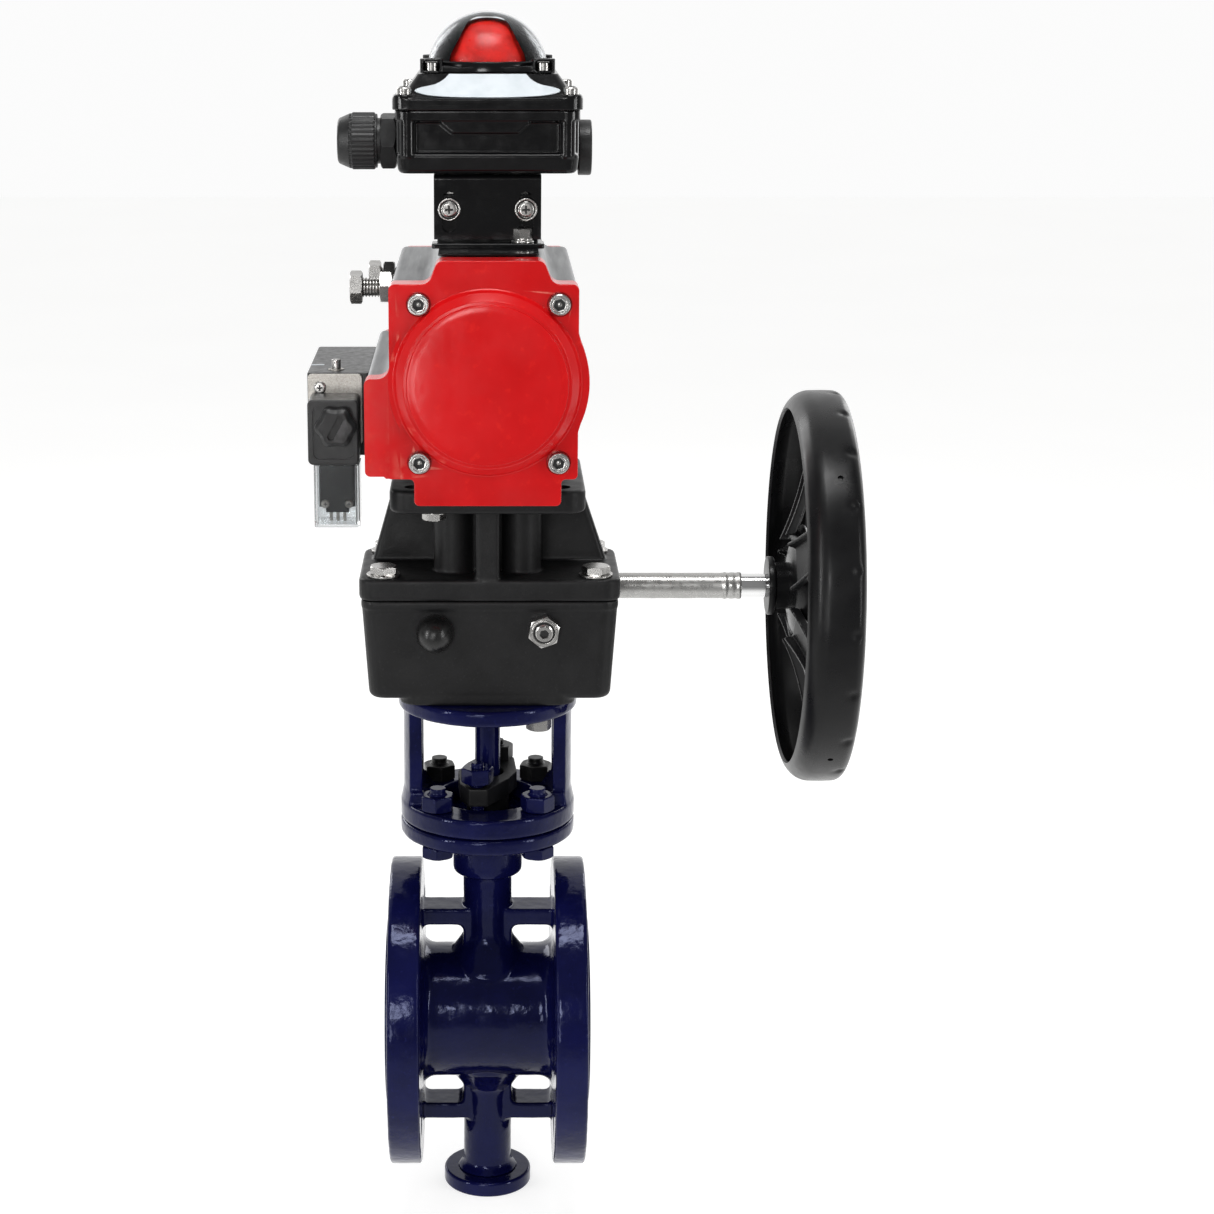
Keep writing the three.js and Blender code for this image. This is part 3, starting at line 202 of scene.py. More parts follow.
def tube(radius, inner, low, high, axis="z", at=(0, 0, 0), edge=0.4, sides=64):
    ring = fillet([(inner, low, edge), (radius, low, edge), (radius, high, edge),
                   (inner, high, edge)], 3)
    return lathe(ring + ring[:1], axis, at, sides)


def moved(mesh, x=0.0, y=0.0, z=0.0):
    mesh.transform(Matrix.Translation((x, y, z)))
    return mesh


def turned(mesh, degrees, axis, about=(0, 0, 0)):
    pivot = Matrix.Translation(about)
    mesh.transform(pivot @ Matrix.Rotation(math.radians(degrees), 4, axis) @ pivot.inverted())
    return mesh


def mirrored(mesh, axis):
    """A mirror image across the plane through the origin that the named axis crosses."""
    sign = [-1 if name == axis else 1 for name in "XYZ"]
    bm = bmesh.new()
    bm.from_mesh(mesh)
    bm.transform(Matrix.Diagonal((*sign, 1)))
    return mesh_from(bm)


def heap(*meshes):
    """Several solids in one mesh, left as they are."""
    bm = bmesh.new()
    for mesh in meshes:
        bm.from_mesh(mesh)
    made = bpy.data.meshes.new("heap")
    bm.to_mesh(made)
    bm.free()
    return made


def with_modifiers(mesh, *steps):
    """A mesh after a list of modifiers, each (type, {setting: value})."""
    holder = bpy.data.objects.new("scratch", mesh)
    bpy.context.scene.collection.objects.link(holder)
    for kind, settings in steps:
        modifier = holder.modifiers.new(kind, kind)
        for name, value in settings.items():
            setattr(modifier, name, value)
    graph = bpy.context.evaluated_depsgraph_get()
    made = bpy.data.meshes.new_from_object(holder.evaluated_get(graph))
    bpy.data.objects.remove(holder)
    return made


def boolean(base, tool, operation):
    cutter = bpy.data.objects.new("cutter", tool)
    bpy.context.scene.collection.objects.link(cutter)
    made = with_modifiers(base, ("BOOLEAN", {
        "solver": "MANIFOLD", "operation": operation, "object": cutter}))
    bpy.data.objects.remove(cutter)
    return made


def cut(base, *tools):
    for tool in tools:
        base = boolean(base, tool, "DIFFERENCE")
    return base


def join(base, *others):
    for other in others:
        base = boolean(base, other, "UNION")
    return base


def common(base, other):
    return boolean(base, other, "INTERSECT")


def soften(mesh, width, segments=2, angle=32):
    """Rounds every edge sharper than angle, as a mould, a cutter's deburring or paint does."""
    bm = bmesh.new()
    bm.from_mesh(mesh)
    bmesh.ops.remove_doubles(bm, verts=bm.verts, dist=width * 0.05)
    bmesh.ops.dissolve_degenerate(bm, edges=bm.edges, dist=width * 0.05)
    sharp = [e for e in bm.edges
             if len(e.link_faces) == 2 and e.calc_face_angle(0) > math.radians(angle)]
    bmesh.ops.bevel(bm, geom=sharp, offset=width, segments=segments, profile=0.5,
                    affect="EDGES", clamp_overlap=True)
    return mesh_from(bm)


def cast(mesh, voxel=0.8, smoothing=4):
    """Melts overlapping solids into one skin with small fillets, as a sand casting has."""
    return with_modifiers(
        mesh, ("REMESH", {"mode": "VOXEL", "voxel_size": voxel, "use_smooth_shade": True}),
        ("SMOOTH", {"factor": 0.5, "iterations": smoothing}))


def uneven(mesh, depth, size):
    """Moves the surface in and out a little, as runs and pools of thick paint do."""
    normals = [v.normal.copy() for v in mesh.vertices]
    for vertex, normal in zip(mesh.vertices, normals):
        lump = noise.noise(vertex.co / size) + 0.5 * noise.noise(vertex.co * 2.7 / size)
        vertex.co += normal * (depth * (lump - 0.5))
    return mesh


# ------------------------------------------------------------------ making pieces
def piece(name, mesh, finish, body="frame", sharp=38, weighted=True):
    mesh.transform(Matrix.Scale(MM, 4))
    mesh.shade_smooth()
    mesh.set_sharp_from_angle(angle=math.radians(sharp))
    made = bpy.data.objects.new(name, mesh)
    bpy.context.scene.collection.objects.link(made)
    marks = [polygon.material_index for polygon in mesh.polygons]
    mesh.materials.clear()
    finishes = finish if isinstance(finish, list) else [finish]
    for material in finishes:
        mesh.materials.append(material)
    mesh.polygons.foreach_set("material_index", [min(mark, len(finishes) - 1) for mark in marks])
    if weighted:
        made.modifiers.new("even_normals", "WEIGHTED_NORMAL").keep_sharp = True
    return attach(made, body)


def stand_in(node, mesh, finish, **options):
    """A detailed piece in the place of a CAD node, on the same body."""
    made = piece(node + "_detail", mesh, finish, NODE_BODY[node], **options)
    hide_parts(node)
    return made


def paint_faces(made, slot_index, chosen):
    """Gives the faces whose centre, in millimetres, is chosen another material of the piece."""
    for polygon in made.data.polygons:
        if chosen(polygon.center / MM, polygon.normal):
            polygon.material_index = slot_index


# ------------------------------------------------------------------ materials
class Finish:
    """A Principled material whose colour, roughness and bump come from procedural nodes.
    Texture scales are in cycles per metre."""

    def __init__(self, name, colour, roughness, metallic=0.0, **uniform):
        self.material = bpy.data.materials.new(name)
        self.material.use_nodes = True
        self.nodes = self.material.node_tree.nodes
        self.links = self.material.node_tree.links
        self.shader = self.nodes["Principled BSDF"]
        self.shader.inputs["Metallic"].default_value = metallic
        for socket, value in uniform.items():
            self.shader.inputs[socket.replace("_", " ")].default_value = value
        self.place = self.nodes.new("ShaderNodeTexCoord").outputs["Object"]
        self.base = colour
        self.colour = None
        self.shader.inputs["Base Color"].default_value = (*colour, 1)
        self.shader.inputs["Roughness"].default_value = roughness
        self.roughness = roughness
        self.normal = None

    def mapped(self, stretch):
        mapping = self.nodes.new("ShaderNodeMapping")
        mapping.inputs["Scale"].default_value = stretch
        self.links.new(self.place, mapping.inputs["Vector"])
        return mapping.outputs["Vector"]

    def noise(self, scale, detail=3.0, stretch=(1, 1, 1), rough=0.55):
        texture = self.nodes.new("ShaderNodeTexNoise")
        texture.inputs["Scale"].default_value = scale
        texture.inputs["Detail"].default_value = detail
        texture.inputs["Roughness"].default_value = rough
        self.links.new(self.mapped(stretch), texture.inputs["Vector"])
        return texture.outputs["Fac"]

    def remap(self, source, low, high, to_low=0.0, to_high=1.0):
        ramp = self.nodes.new("ShaderNodeMapRange")
        for socket, value in (("From Min", low), ("From Max", high),
                              ("To Min", to_low), ("To Max", to_high)):
            ramp.inputs[socket].default_value = value
        self.links.new(source, ramp.inputs["Value"])
        return ramp.outputs["Result"]

    def multiply(self, first, second):
        math_node = self.nodes.new("ShaderNodeMath")
        math_node.operation = "MULTIPLY"
        self.links.new(first, math_node.inputs[0])
        self.links.new(second, math_node.inputs[1])
        return math_node.outputs[0]

    def tint(self, amount, colour):
        """Mixes another colour into the base colour by amount, a socket from 0 to 1."""
        mix = self.nodes.new("ShaderNodeMix")
        mix.data_type = "RGBA"
        self.links.new(amount, mix.inputs["Factor"])
        if self.colour is None:
            mix.inputs[6].default_value = (*self.base, 1)
        else:
            self.links.new(self.colour, mix.inputs[6])
        mix.inputs[7].default_value = (*colour, 1)
        self.colour = mix.outputs[2]
        self.links.new(self.colour, self.shader.inputs["Base Color"])
        return self

    def mottle(self, colour, scale, detail=4.0, low=0.35, high=0.7, stretch=(1, 1, 1)):
        return self.tint(self.remap(self.noise(scale, detail, stretch), low, high), colour)

    def sheen_change(self, spread, scale, stretch=(1, 1, 1)):
        """Varies the roughness round its middle value."""
        changed = self.remap(self.noise(scale, 4.0, stretch), 0.3, 0.7,
                             max(0.02, self.roughness - spread), self.roughness + spread)
        self.links.new(changed, self.shader.inputs["Roughness"])
        return self

    def bump(self, height, depth_mm, strength=1.0):
        node = self.nodes.new("ShaderNodeBump")
        node.inputs["Strength"].default_value = strength
        node.inputs["Distance"].default_value = depth_mm * MM
        self.links.new(height, node.inputs["Height"])
        if self.normal is not None:
            self.links.new(self.normal, node.inputs["Normal"])
        self.normal = node.outputs["Normal"]
        self.links.new(self.normal, self.shader.inputs["Normal"])
        return self

    def grain(self, scale, depth_mm, detail=3.0, stretch=(1, 1, 1)):
        return self.bump(self.noise(scale, detail, stretch), depth_mm)

    def worn_and_highlit_edges(self, colour, low=0.53, high=0.6, patch_scale=120.0):
        """Lightens convex edges: partly wear where handling has rubbed them, partly a painted highlight line along
        them.
        """
        pointed = self.nodes.new("ShaderNodeNewGeometry").outputs["Pointiness"]
        edge = self.remap(pointed, low, high)
        patch = self.remap(self.noise(patch_scale, 5.0), 0.42, 0.62)
        return self.tint(self.multiply(edge, patch), colour)

    def glow(self, colour, strength):
        self.shader.inputs["Emission Color"].default_value = (*colour, 1)
        self.shader.inputs["Emission Strength"].default_value = strength
        return self

    # Darkens the colour where pointiness marks a hollow: painted shade in creases and recesses.
    def painted_hollow_shade(self, colour, low=0.47, high=0.4):
        pointed = self.nodes.new("ShaderNodeNewGeometry").outputs["Pointiness"]
        return self.tint(self.remap(pointed, low, high), colour)

    def rings(self, axis, spacing_mm, depth_mm, centre=(0, 0, 0)):
        """Concentric lathe marks about an axis that passes through centre."""
        wave = self.nodes.new("ShaderNodeTexWave")
        wave.wave_type = "RINGS"
        wave.rings_direction = axis.upper()
        wave.inputs["Scale"].default_value = 1 / (spacing_mm * MM * 3.2)
        wave.inputs["Distortion"].default_value = 0.6
        shift = self.nodes.new("ShaderNodeMapping")
        shift.inputs["Location"].default_value = [-c * MM for c in centre]
        self.links.new(self.place, shift.inputs["Vector"])
        self.links.new(shift.outputs["Vector"], wave.inputs["Vector"])
        return self.bump(wave.outputs["Fac"], depth_mm)


def gloss_paint(name, colour, shade, highlight, roughness, shine=0.3, tint=(1, 1, 1), waves=0.05):
    """Brushed or sprayed enamel that has pooled a little, so that its reflections waver."""
    made = Finish(name, colour, roughness, Specular_IOR_Level=shine, Specular_Tint=(*tint, 1))
    made.mottle(shade, 45.0)
    made.mottle(highlight, 420.0, low=0.62, high=0.8)
    made.sheen_change(0.06, 160.0)
    made.grain(130.0, waves, 2.0)
    return made.grain(620.0, 0.3 * waves)


def blue_paint():
    made = gloss_paint("blue_enamel", (0.0038, 0.0046, 0.044), (0.0022, 0.0026, 0.025),
                       (0.0075, 0.009, 0.066), roughness=0.12, shine=0.26, tint=(0.6, 0.66, 1.0),
                       waves=0.17)
    # Darker navy in hollows: painted shade.
    made.painted_hollow_shade((0.0015, 0.0016, 0.011))
    # Lighter blue along the edges: partly wear, partly a painted highlight line.
    return made.worn_and_highlit_edges((0.026, 0.03, 0.14), 0.56, 0.68).material


def satin_black(name="satin_black_iron", roughness=0.44, grain_depth=0.14):
    made = Finish(name, (0.0095, 0.0095, 0.01), roughness, Specular_IOR_Level=0.25)
    made.mottle((0.006, 0.006, 0.0064), 60.0)
    # Sparse lighter specks: painted highlight glints.
    made.mottle((0.017, 0.017, 0.0175), 700.0, low=0.6, high=0.78)
    made.sheen_change(0.08, 90.0)
    made.grain(260.0, grain_depth)
    made.grain(1400.0, grain_depth * 0.35)
    # Lighter edges: partly wear, partly a painted highlight line.
    return made.worn_and_highlit_edges((0.055, 0.055, 0.057), 0.54, 0.62).material


def wheel_black():
    made = Finish("wheel_powder_coat", (0.0045, 0.0045, 0.005), 0.3, Specular_IOR_Level=0.22)
    made.mottle((0.007, 0.007, 0.0075), 50.0)
    made.sheen_change(0.06, 70.0)
    made.grain(900.0, 0.02)
    made.grain(60.0, 0.12, 1.0)
    # Lighter edges: partly wear, partly a painted highlight line.
    return made.worn_and_highlit_edges((0.035, 0.035, 0.036), 0.56, 0.66).material


def black_enamel():
    made = gloss_paint("black_enamel_box", (0.004, 0.004, 0.0045), (0.0028, 0.0028, 0.0032),
                       (0.007, 0.007, 0.008), roughness=0.17)
    # Lighter edges: partly wear, partly a painted highlight line.
    return made.worn_and_highlit_edges((0.045, 0.045, 0.047), 0.55, 0.66).material


def dipped_black():
    made = gloss_paint("dipped_black_steel", (0.0035, 0.0035, 0.004), (0.0022, 0.0022, 0.0026),
                       (0.007, 0.007, 0.008), roughness=0.1, shine=0.36)
    # Lighter edges: partly wear, partly a painted highlight line.
    return made.worn_and_highlit_edges((0.05, 0.05, 0.052), 0.56, 0.68).material


def red_paint():
    made = Finish("red_powder_coat", (0.61, 0.005, 0.007), 0.2, Specular_IOR_Level=0.4,
                  Specular_Tint=(1, 0.7, 0.7, 1))
    made.mottle((0.51, 0.004, 0.005), 30.0)
    made.mottle((0.68, 0.014, 0.01), 210.0, low=0.6, high=0.85)
    made.sheen_change(0.07, 35.0)
    made.grain(800.0, 0.02)
    made.grain(70.0, 0.18, 2.0)
    # Darker red in hollows: painted shade.
    made.painted_hollow_shade((0.3, 0.008, 0.007), 0.48, 0.4)
    # Lighter red along the edges: partly wear, partly a painted highlight line.
    return made.worn_and_highlit_edges((0.72, 0.16, 0.12), 0.54, 0.64).material


def anodised():
    made = Finish("anodised_extrusion", (0.2, 0.205, 0.21), 0.42, 0.7)
    made.mottle((0.16, 0.163, 0.168), 40.0, stretch=(1, 0.15, 1))
    made.mottle((0.26, 0.265, 0.27), 700.0, low=0.55, high=0.8, stretch=(1, 0.04, 1))
    made.sheen_change(0.08, 240.0, (1, 0.06, 1))
    made.grain(1500.0, 0.03, 2.0, (1, 0.03, 1))
    # Lighter edges: partly wear, partly a painted highlight line.
    return made.worn_and_highlit_edges((0.5, 0.5, 0.5), 0.54, 0.62).material


def bright_steel(name="bright_steel", colour=(0.5, 0.49, 0.475), roughness=0.26):
    made = Finish(name, colour, roughness, 1.0)
    made.mottle(tuple(c * 0.78 for c in colour), 300.0)
    made.mottle((0.2, 0.19, 0.17), 160.0, low=0.72, high=0.9)
    made.sheen_change(0.05, 300.0)
    # Darker steel in hollows: painted shade.
    made.painted_hollow_shade((0.09, 0.085, 0.08), 0.47, 0.4)
    return made.grain(900.0, 0.0015).material


def chrome():
    made = Finish("chromed_shaft", (0.82, 0.82, 0.82), 0.09, 1.0)
    made.mottle((0.7, 0.7, 0.71), 60.0, stretch=(0.3, 1, 1))
    made.sheen_change(0.05, 1800.0, (0.05, 1, 1))
    return made.grain(5000.0, 0.004, 2.0, (1, 0.02, 0.02)).material


def nickel_plate():
    made = Finish("nickel_pilot_plate", (0.42, 0.4, 0.37), 0.36, 1.0)
    made.mottle((0.3, 0.285, 0.26), 900.0)
    made.mottle((0.55, 0.53, 0.5), 2500.0, low=0.5, high=0.75)
    made.sheen_change(0.1, 1200.0)
    return made.grain(3000.0, 0.03).material


def turned_metal(name, colour, roughness=0.3):
    made = Finish(name, colour, roughness, 1.0)
    made.mottle(tuple(c * 0.75 for c in colour), 300.0)
    made.sheen_change(0.1, 1100.0)
    return made.grain(2400.0, 0.02).material


def raised_face():
    made = Finish("serrated_flange_face", (0.3, 0.3, 0.31), 0.34, 1.0)
    made.mottle((0.2, 0.2, 0.21), 120.0)
    made.rings("x", 0.8, 0.18, (0, 0, PIPE_Z))
    return made.sheen_change(0.1, 500.0).material


def moulded(name, colour, roughness, grain_depth=0.05):
    made = Finish(name, colour, roughness, Specular_IOR_Level=0.45)
    made.mottle(tuple(c * 0.65 for c in colour), 120.0)
    made.mottle(tuple(c * 1.5 for c in colour), 1500.0, low=0.58, high=0.8)
    made.sheen_change(0.08, 300.0)
    made.grain(2200.0, grain_depth)
    # Lighter edges: partly wear, partly a painted highlight line.
    return made.worn_and_highlit_edges(tuple(min(1.0, c * 3 + 0.02) for c in colour), 0.55, 0.68).material


def clear(name, tint, roughness, ior=1.5):
    made = Finish(name, tint, roughness, Transmission_Weight=1.0, IOR=ior)
    made.grain(160.0, 0.03, 1.0)
    return made.material


def film():
    made = Finish("protective_film", (0.56, 0.555, 0.54), 0.3, 0.85, Alpha=0.85)
    made.mottle((0.46, 0.455, 0.44), 60.0, stretch=(0.25, 1, 1))
    made.sheen_change(0.12, 300.0)
    return made.grain(260.0, 0.012, 2.0, (0.3, 1, 1)).material


def label_silver():
    made = Finish("blank_silver_label", (0.5, 0.535, 0.56), 0.38, 0.3)
    made.mottle((0.42, 0.46, 0.485), 90.0)
    made.sheen_change(0.1, 250.0)
    return made.grain(1800.0, 0.01).material


# ------------------------------------------------------------------ valve
PIPE_Z = 101.0
PIPE = (0, 0, PIPE_Z)
PIPE_SIDES = 128
FLANGE = {"r": 82.5, "inner_x": 35.0, "rim_x": 52.0, "edge": 1.6}
RAISED = {"r": 51.0, "x": 54.0}
BORE_R = 25.0
BARREL = {"r": 36.0, "flare": 7.0}
COLUMN = {"r": 13.0, "foot_r": 16.5, "foot_rise": 4.0, "low": 57.0, "high": 145.0}
CORE = {"r": 24.0, "low": 72.0, "high": 130.0}
NECK = {"r": 18.5, "low": 181.0}
TOP_FLANGE = {"r": 46.0, "low": 205.0, "high": 213.2}
RIB = {"root": 30.0, "top": 61.0, "half_y": 10.0}
RIB_WINDOW = {"root": 26.0, "top": 52.0, "corner": 3.6}
FLANGE_HOLES = {"pitch_r": 62.5, "r": 9.0}
SEAT = {"low": 7.4, "high": 13.5, "r": 27.6, "gap": 0.3}
PAST_FLANGES = 60.0


def valve_body():
    barrel = lathe(barrel_profile(), "x", PIPE, 160)
    raised_r, raised_x = RAISED["r"], RAISED["x"]
    faces = profile((0, -raised_x), (raised_r, -raised_x, 0.6), (raised_r, 0),
                    (raised_r, raised_x, 0.6), (0, raised_x))
    between = rod(60, -50, 50, "x", PIPE, sides=PIPE_SIDES)
    raised = cut(lathe(faces, "x", PIPE, PIPE_SIDES), between)
    pitch_r = FLANGE_HOLES["pitch_r"]
    holes = [rod(FLANGE_HOLES["r"], -PAST_FLANGES, PAST_FLANGES, "x",
                 (0, pitch_r * math.cos(a), PIPE_Z + pitch_r * math.sin(a))) for a in DIAGONALS]
    whole = join(barrel, *column_solids(), *ribs())
    skin = uneven(cast(cut(whole, *holes), 0.85, 5), 0.12, 9.0)
    bore = rod(BORE_R, -PAST_FLANGES, PAST_FLANGES, "x", PIPE, sides=PIPE_SIDES)
    gap = SEAT["gap"]
    seat_room = rod(SEAT["r"] + gap, SEAT["low"] - gap, SEAT["high"] + gap, "x", PIPE,
                    sides=PIPE_SIDES)
    opened = cut(join(skin, *loose_parts(raised)), bore, seat_room)
    made = stand_in("valve_body", opened, [FINISH["blue"], FINISH["raised_face"]], weighted=False)
    paint_faces(made, 1, lambda at, normal: abs(at.x) > raised_x - 0.4 and abs(normal.x) > 0.9)


def barrel_profile():
    """Half of the barrel and one flange, and its mirror image."""
    r, rim_x, inner_x, edge = FLANGE["r"], FLANGE["rim_x"], FLANGE["inner_x"], FLANGE["edge"]
    half = [(0, rim_x), (r, rim_x, edge), (r, inner_x, edge), (BARREL["r"], inner_x, BARREL["flare"])]
    return profile(*[(p[0], -p[1], *p[2:]) for p in half], *half[::-1], steps=6)


def column_solids():
    """The column under the barrel, and the one above it with the neck and the top flange."""
    r, core_r = COLUMN["r"], CORE["r"]
    foot = span("valve_body")[0].z
    foot_r, foot_top = COLUMN["foot_r"], foot + COLUMN["foot_rise"]
    flange_r, flange_low, flange_high = TOP_FLANGE["r"], TOP_FLANGE["low"], TOP_FLANGE["high"]
    lower = profile((0, foot), (foot_r, foot), (r, foot_top, 4), (r, COLUMN["low"], 10),
                    (core_r, CORE["low"]), (core_r, PIPE_Z), (0, PIPE_Z))
    upper = profile((0, PIPE_Z), (core_r, PIPE_Z), (core_r, CORE["high"]), (r, COLUMN["high"], 10),
                    (r, NECK["low"], 1.6), (NECK["r"], NECK["low"], 5), (NECK["r"], flange_low, 3),
                    (flange_r, flange_low, 1.4), (flange_r, flange_high, 1.2), (0, flange_high))
    return lathe(lower), lathe(upper)


def loose_parts(mesh):
    """The separate closed shells of a mesh, one mesh each, in the order of their first vertices."""
    bm = bmesh.new()
    bm.from_mesh(mesh)
    bm.verts.index_update()
    parts, placed = [], set()
    for seed in bm.verts:
        if seed.index in placed:
            continue
        group, edge = set(), [seed]
        while edge:
            vertex = edge.pop()
            if vertex.index in group:
                continue
            group.add(vertex.index)
            edge.extend(e.other_vert(vertex) for e in vertex.link_edges)
        placed |= group
        part = bm.copy()
        part.verts.index_update()
        others = [v for v in part.verts if v.index not in group]
        bmesh.ops.delete(part, geom=others, context="VERTS")
        parts.append(mesh_from(part))
    bm.free()
    return parts


def ribs():
    """A web above and below the barrel on each side, with a round-cornered window in it."""
    reach, half_y = FLANGE["inner_x"] + 1, RIB["half_y"]
    made = []
    for side in (-1, 1):
        low, high = sorted((PIPE_Z + side * RIB["root"], PIPE_Z + side * RIB["top"]))
        plate = box((-reach, -half_y, low), (reach, half_y, high))
        low, high = sorted((PIPE_Z + side * RIB_WINDOW["root"], PIPE_Z + side * RIB_WINDOW["top"]))
        for x in (-1, 1):
            left, right = sorted((x * COLUMN["r"], x * FLANGE["inner_x"]))
            window = rectangle(left, right, low, high, RIB_WINDOW["corner"])
            plate = cut(plate, prism(window, -2 * half_y, 2 * half_y, "y"))
        made.append(plate)
    return made


def bottom_cover():
    low, high = span("bottom_cover")
    r, top = high.x, 8.0
    recess_r, recess_depth, pitch_r = 3.4, 2.6, 16.5
    plate = lathe(profile((0, low.z), (r, low.z, 1.2), (r, top, 1.6), (0, top)))
    recesses = [rod(recess_r, low.z - 1, low.z + recess_depth,
                    at=(pitch_r * math.cos(a), pitch_r * math.sin(a), 0)) for a in DIAGONALS]
    stand_in("bottom_cover", soften(cut(plate, *recesses), 0.25), FINISH["blue"])


DISC = {"sphere_r": 24.0, "back": 3.0, "face": 8.2, "hub_r": 10.5, "stem_hole_r": 7.0,
        "spigot_r": 14.7, "spigot_face": 10.1}
CLAMP = {"set_in": 2.2, "screws": 6, "pitch_r": 11.0}


def sphere_rim(stations, set_in=0.0):
    """Points on the disc's spherical rim at distances along the pipe."""
    return [(math.sqrt(DISC["sphere_r"] ** 2 - x * x) - set_in, x) for x in stations]


def disc_and_clamp():
    """The disc plate with its stem hub, and the ring that clamps its seal."""
    low, high = span("disc")
    top = 2 * PIPE_Z
    back, face = DISC["back"], DISC["face"]
    rim = sphere_rim([back, 4.7, 6.4, face])
    plate = lathe([(0, back)] + rim + [(0, face)], "x", PIPE, PIPE_SIDES)
    hub = rod(DISC["hub_r"], low.z, high.z, edge=1.5)
    ahead = box((face, -30, 0), (30, 30, top))
    stem_hole = rod(DISC["stem_hole_r"], 0, top)
    spigot = rod(DISC["spigot_r"], face - 1, DISC["spigot_face"], "x", PIPE, edge=0.3)
    whole = cut(join(plate, cut(hub, ahead), spigot), stem_hole)
    stand_in("disc", soften(whole, 0.3), FINISH["polished"])
    back, face = (corner.x for corner in span("disc_clamp_ring"))
    rim = sphere_rim([back, (back + face) / 2, face], CLAMP["set_in"])
    clamp = lathe([(0, back)] + rim + [(0, face)], "x", PIPE, PIPE_SIDES)
    count, pitch_r = CLAMP["screws"], CLAMP["pitch_r"]
    sockets = [hex_recess((face, pitch_r * math.cos(a), PIPE_Z + pitch_r * math.sin(a)))
               for a in [TURN * i / count for i in range(count)]]
    stand_in("disc_clamp_ring", soften(cut(clamp, *sockets), 0.25), FINISH["polished"])


def hex_recess(at, across=1.6, depth=1.2):
    return moved(rod(across, -depth, depth, "x", sides=6), *at)


def stem():
    low, high = span("stem")
    r, square_from, square_half = 6.7, 292.0, 4.5
    shaft = rod(r, low.z, square_from, edge=0.5)
    tang = box((-square_half, -square_half, square_from - 1), (square_half, square_half, high.z), 1.0)
    stand_in("stem", uneven(join(shaft, tang), 0.05, 6.0), FINISH["blue"])


# ------------------------------------------------------------------ fasteners
def hexagon(across_corners_r, low, high, axis="z", at=(0, 0, 0), turn=0.0):
    """A hex head or nut whose corners are chamfered at both ends."""
    flat = across_corners_r * math.cos(math.pi / 6)
    height = high - low
    chamfer = (across_corners_r - flat) * 0.9
    block = turned(rod(across_corners_r, low, high, "z", sides=6), turn, "Z")
    cone = lathe([(0, low), (flat + chamfer * 0.1, low), (across_corners_r, low + chamfer * 0.6),
                  (across_corners_r, low + height - chamfer * 0.6),
                  (flat + chamfer * 0.1, low + height), (0, high)], sides=48)
    made = soften(common(block, cone), 0.18, angle=25)
    made.transform(AXES[axis])
    if axis == "y":
        made = mesh_from_mesh(made)
    return moved(made, *at)


def mesh_from_mesh(mesh):
    bm = bmesh.new()
    bm.from_mesh(mesh)
    return mesh_from(bm)


def threaded(radius, low, high, axis="z", at=(0, 0, 0), pitch=1.25):
    """A rod with thread grooves and a chamfered end at high."""
    root = radius - 0.55 * pitch
    points = [(0, low), (root, low)]
    turns = int((high - low - pitch) / pitch)
    for i in range(turns):
        base = low + i * pitch
        points += [(root, base + 0.12 * pitch), (radius, base + 0.5 * pitch),
                   (root, base + 0.88 * pitch)]
    points += [(root, high), (0, high)]
    return lathe(points, axis, at, 40)


def washer(radius, inner, low, high, axis="z", at=(0, 0, 0)):
    return tube(radius, inner, low, high, axis, at, 0.25, 48)


def cross_recess(radius, top):
    """The tapered cross of a Phillips screw, as a cutting tool that points down from top."""
    arm, width, depth = radius * 0.52, radius * 0.13, radius * 0.6
    bars = []
    for u, v in ((arm, width), (width, arm)):
        tip_u, tip_v = u * 0.45, v * 0.6
        bars.append(loft(rectangle(-tip_u, tip_u, -tip_v, tip_v), rectangle(-u, u, -v, v),
                         top - depth, top + 0.3))
    return mesh_from_mesh(join(*bars))


def facing(mesh, toward):
    """Turns a solid drawn with its head up +Z so that its head faces the named direction."""
    spins = {"+z": (0, "X"), "-z": (180, "X"), "-y": (90, "X"), "+y": (-90, "X"),
             "+x": (90, "Y"), "-x": (-90, "Y")}
    degrees, axis = spins[toward]
    return turned(mesh, degrees, axis)


def shaded(mesh):
    """Marks a solid for the second finish of its piece: a dark part that paints the shade at the bottom of a
    recess or in a gap.
    """
    for polygon in mesh.polygons:
        polygon.material_index = 1
    return mesh


def socket_screw(radius, height):
    """A socket cap screw's head, drawn from the seat at z = 0 upwards, with painted shade in its socket."""
    socket = radius * 0.57
    outline = profile((0, 0), (radius, 0, 0.2), (radius, height - 0.5, 0.3),
                      (radius - 0.45, height, 0.2), (radius * 0.76, height, 0.15),
                      (radius * 0.72, height - 0.25, 0.15), (radius * 0.66, height, 0.15), (0, height))
    hole = turned(rod(socket, height - radius * 0.5, height + 1, sides=6), 15, "Z")
    head = soften(cut(lathe(outline, sides=64), hole), 0.12, angle=40)
    # A dark disc in the socket: painted shade.
    floor = shaded(rod(socket + 0.2, height - radius * 0.48, height - radius * 0.4, sides=32))
    dimple = lathe([(0, height - radius * 0.42), (radius * 0.22, height - radius * 0.39),
                    (radius * 0.12, height - radius * 0.34), (0, height - radius * 0.33)], sides=24)
    return heap(head, floor, dimple)


def pan_screw(radius, height):
    """A cross-head screw's low round head, drawn from the seat at z = 0 upwards."""
    dome = lathe(profile((0, 0), (radius, 0, 0.2), (radius, height * 0.75, height * 0.4),
                         (radius * 0.7, height, radius * 0.4), (0, height), steps=6), sides=48)
    # A dark disc under the cross: painted shade.
    floor = shaded(rod(radius * 0.6, height - radius * 0.5, height - 0.25, sides=32))
    return heap(cut(dome, cross_recess(radius, height)), floor)


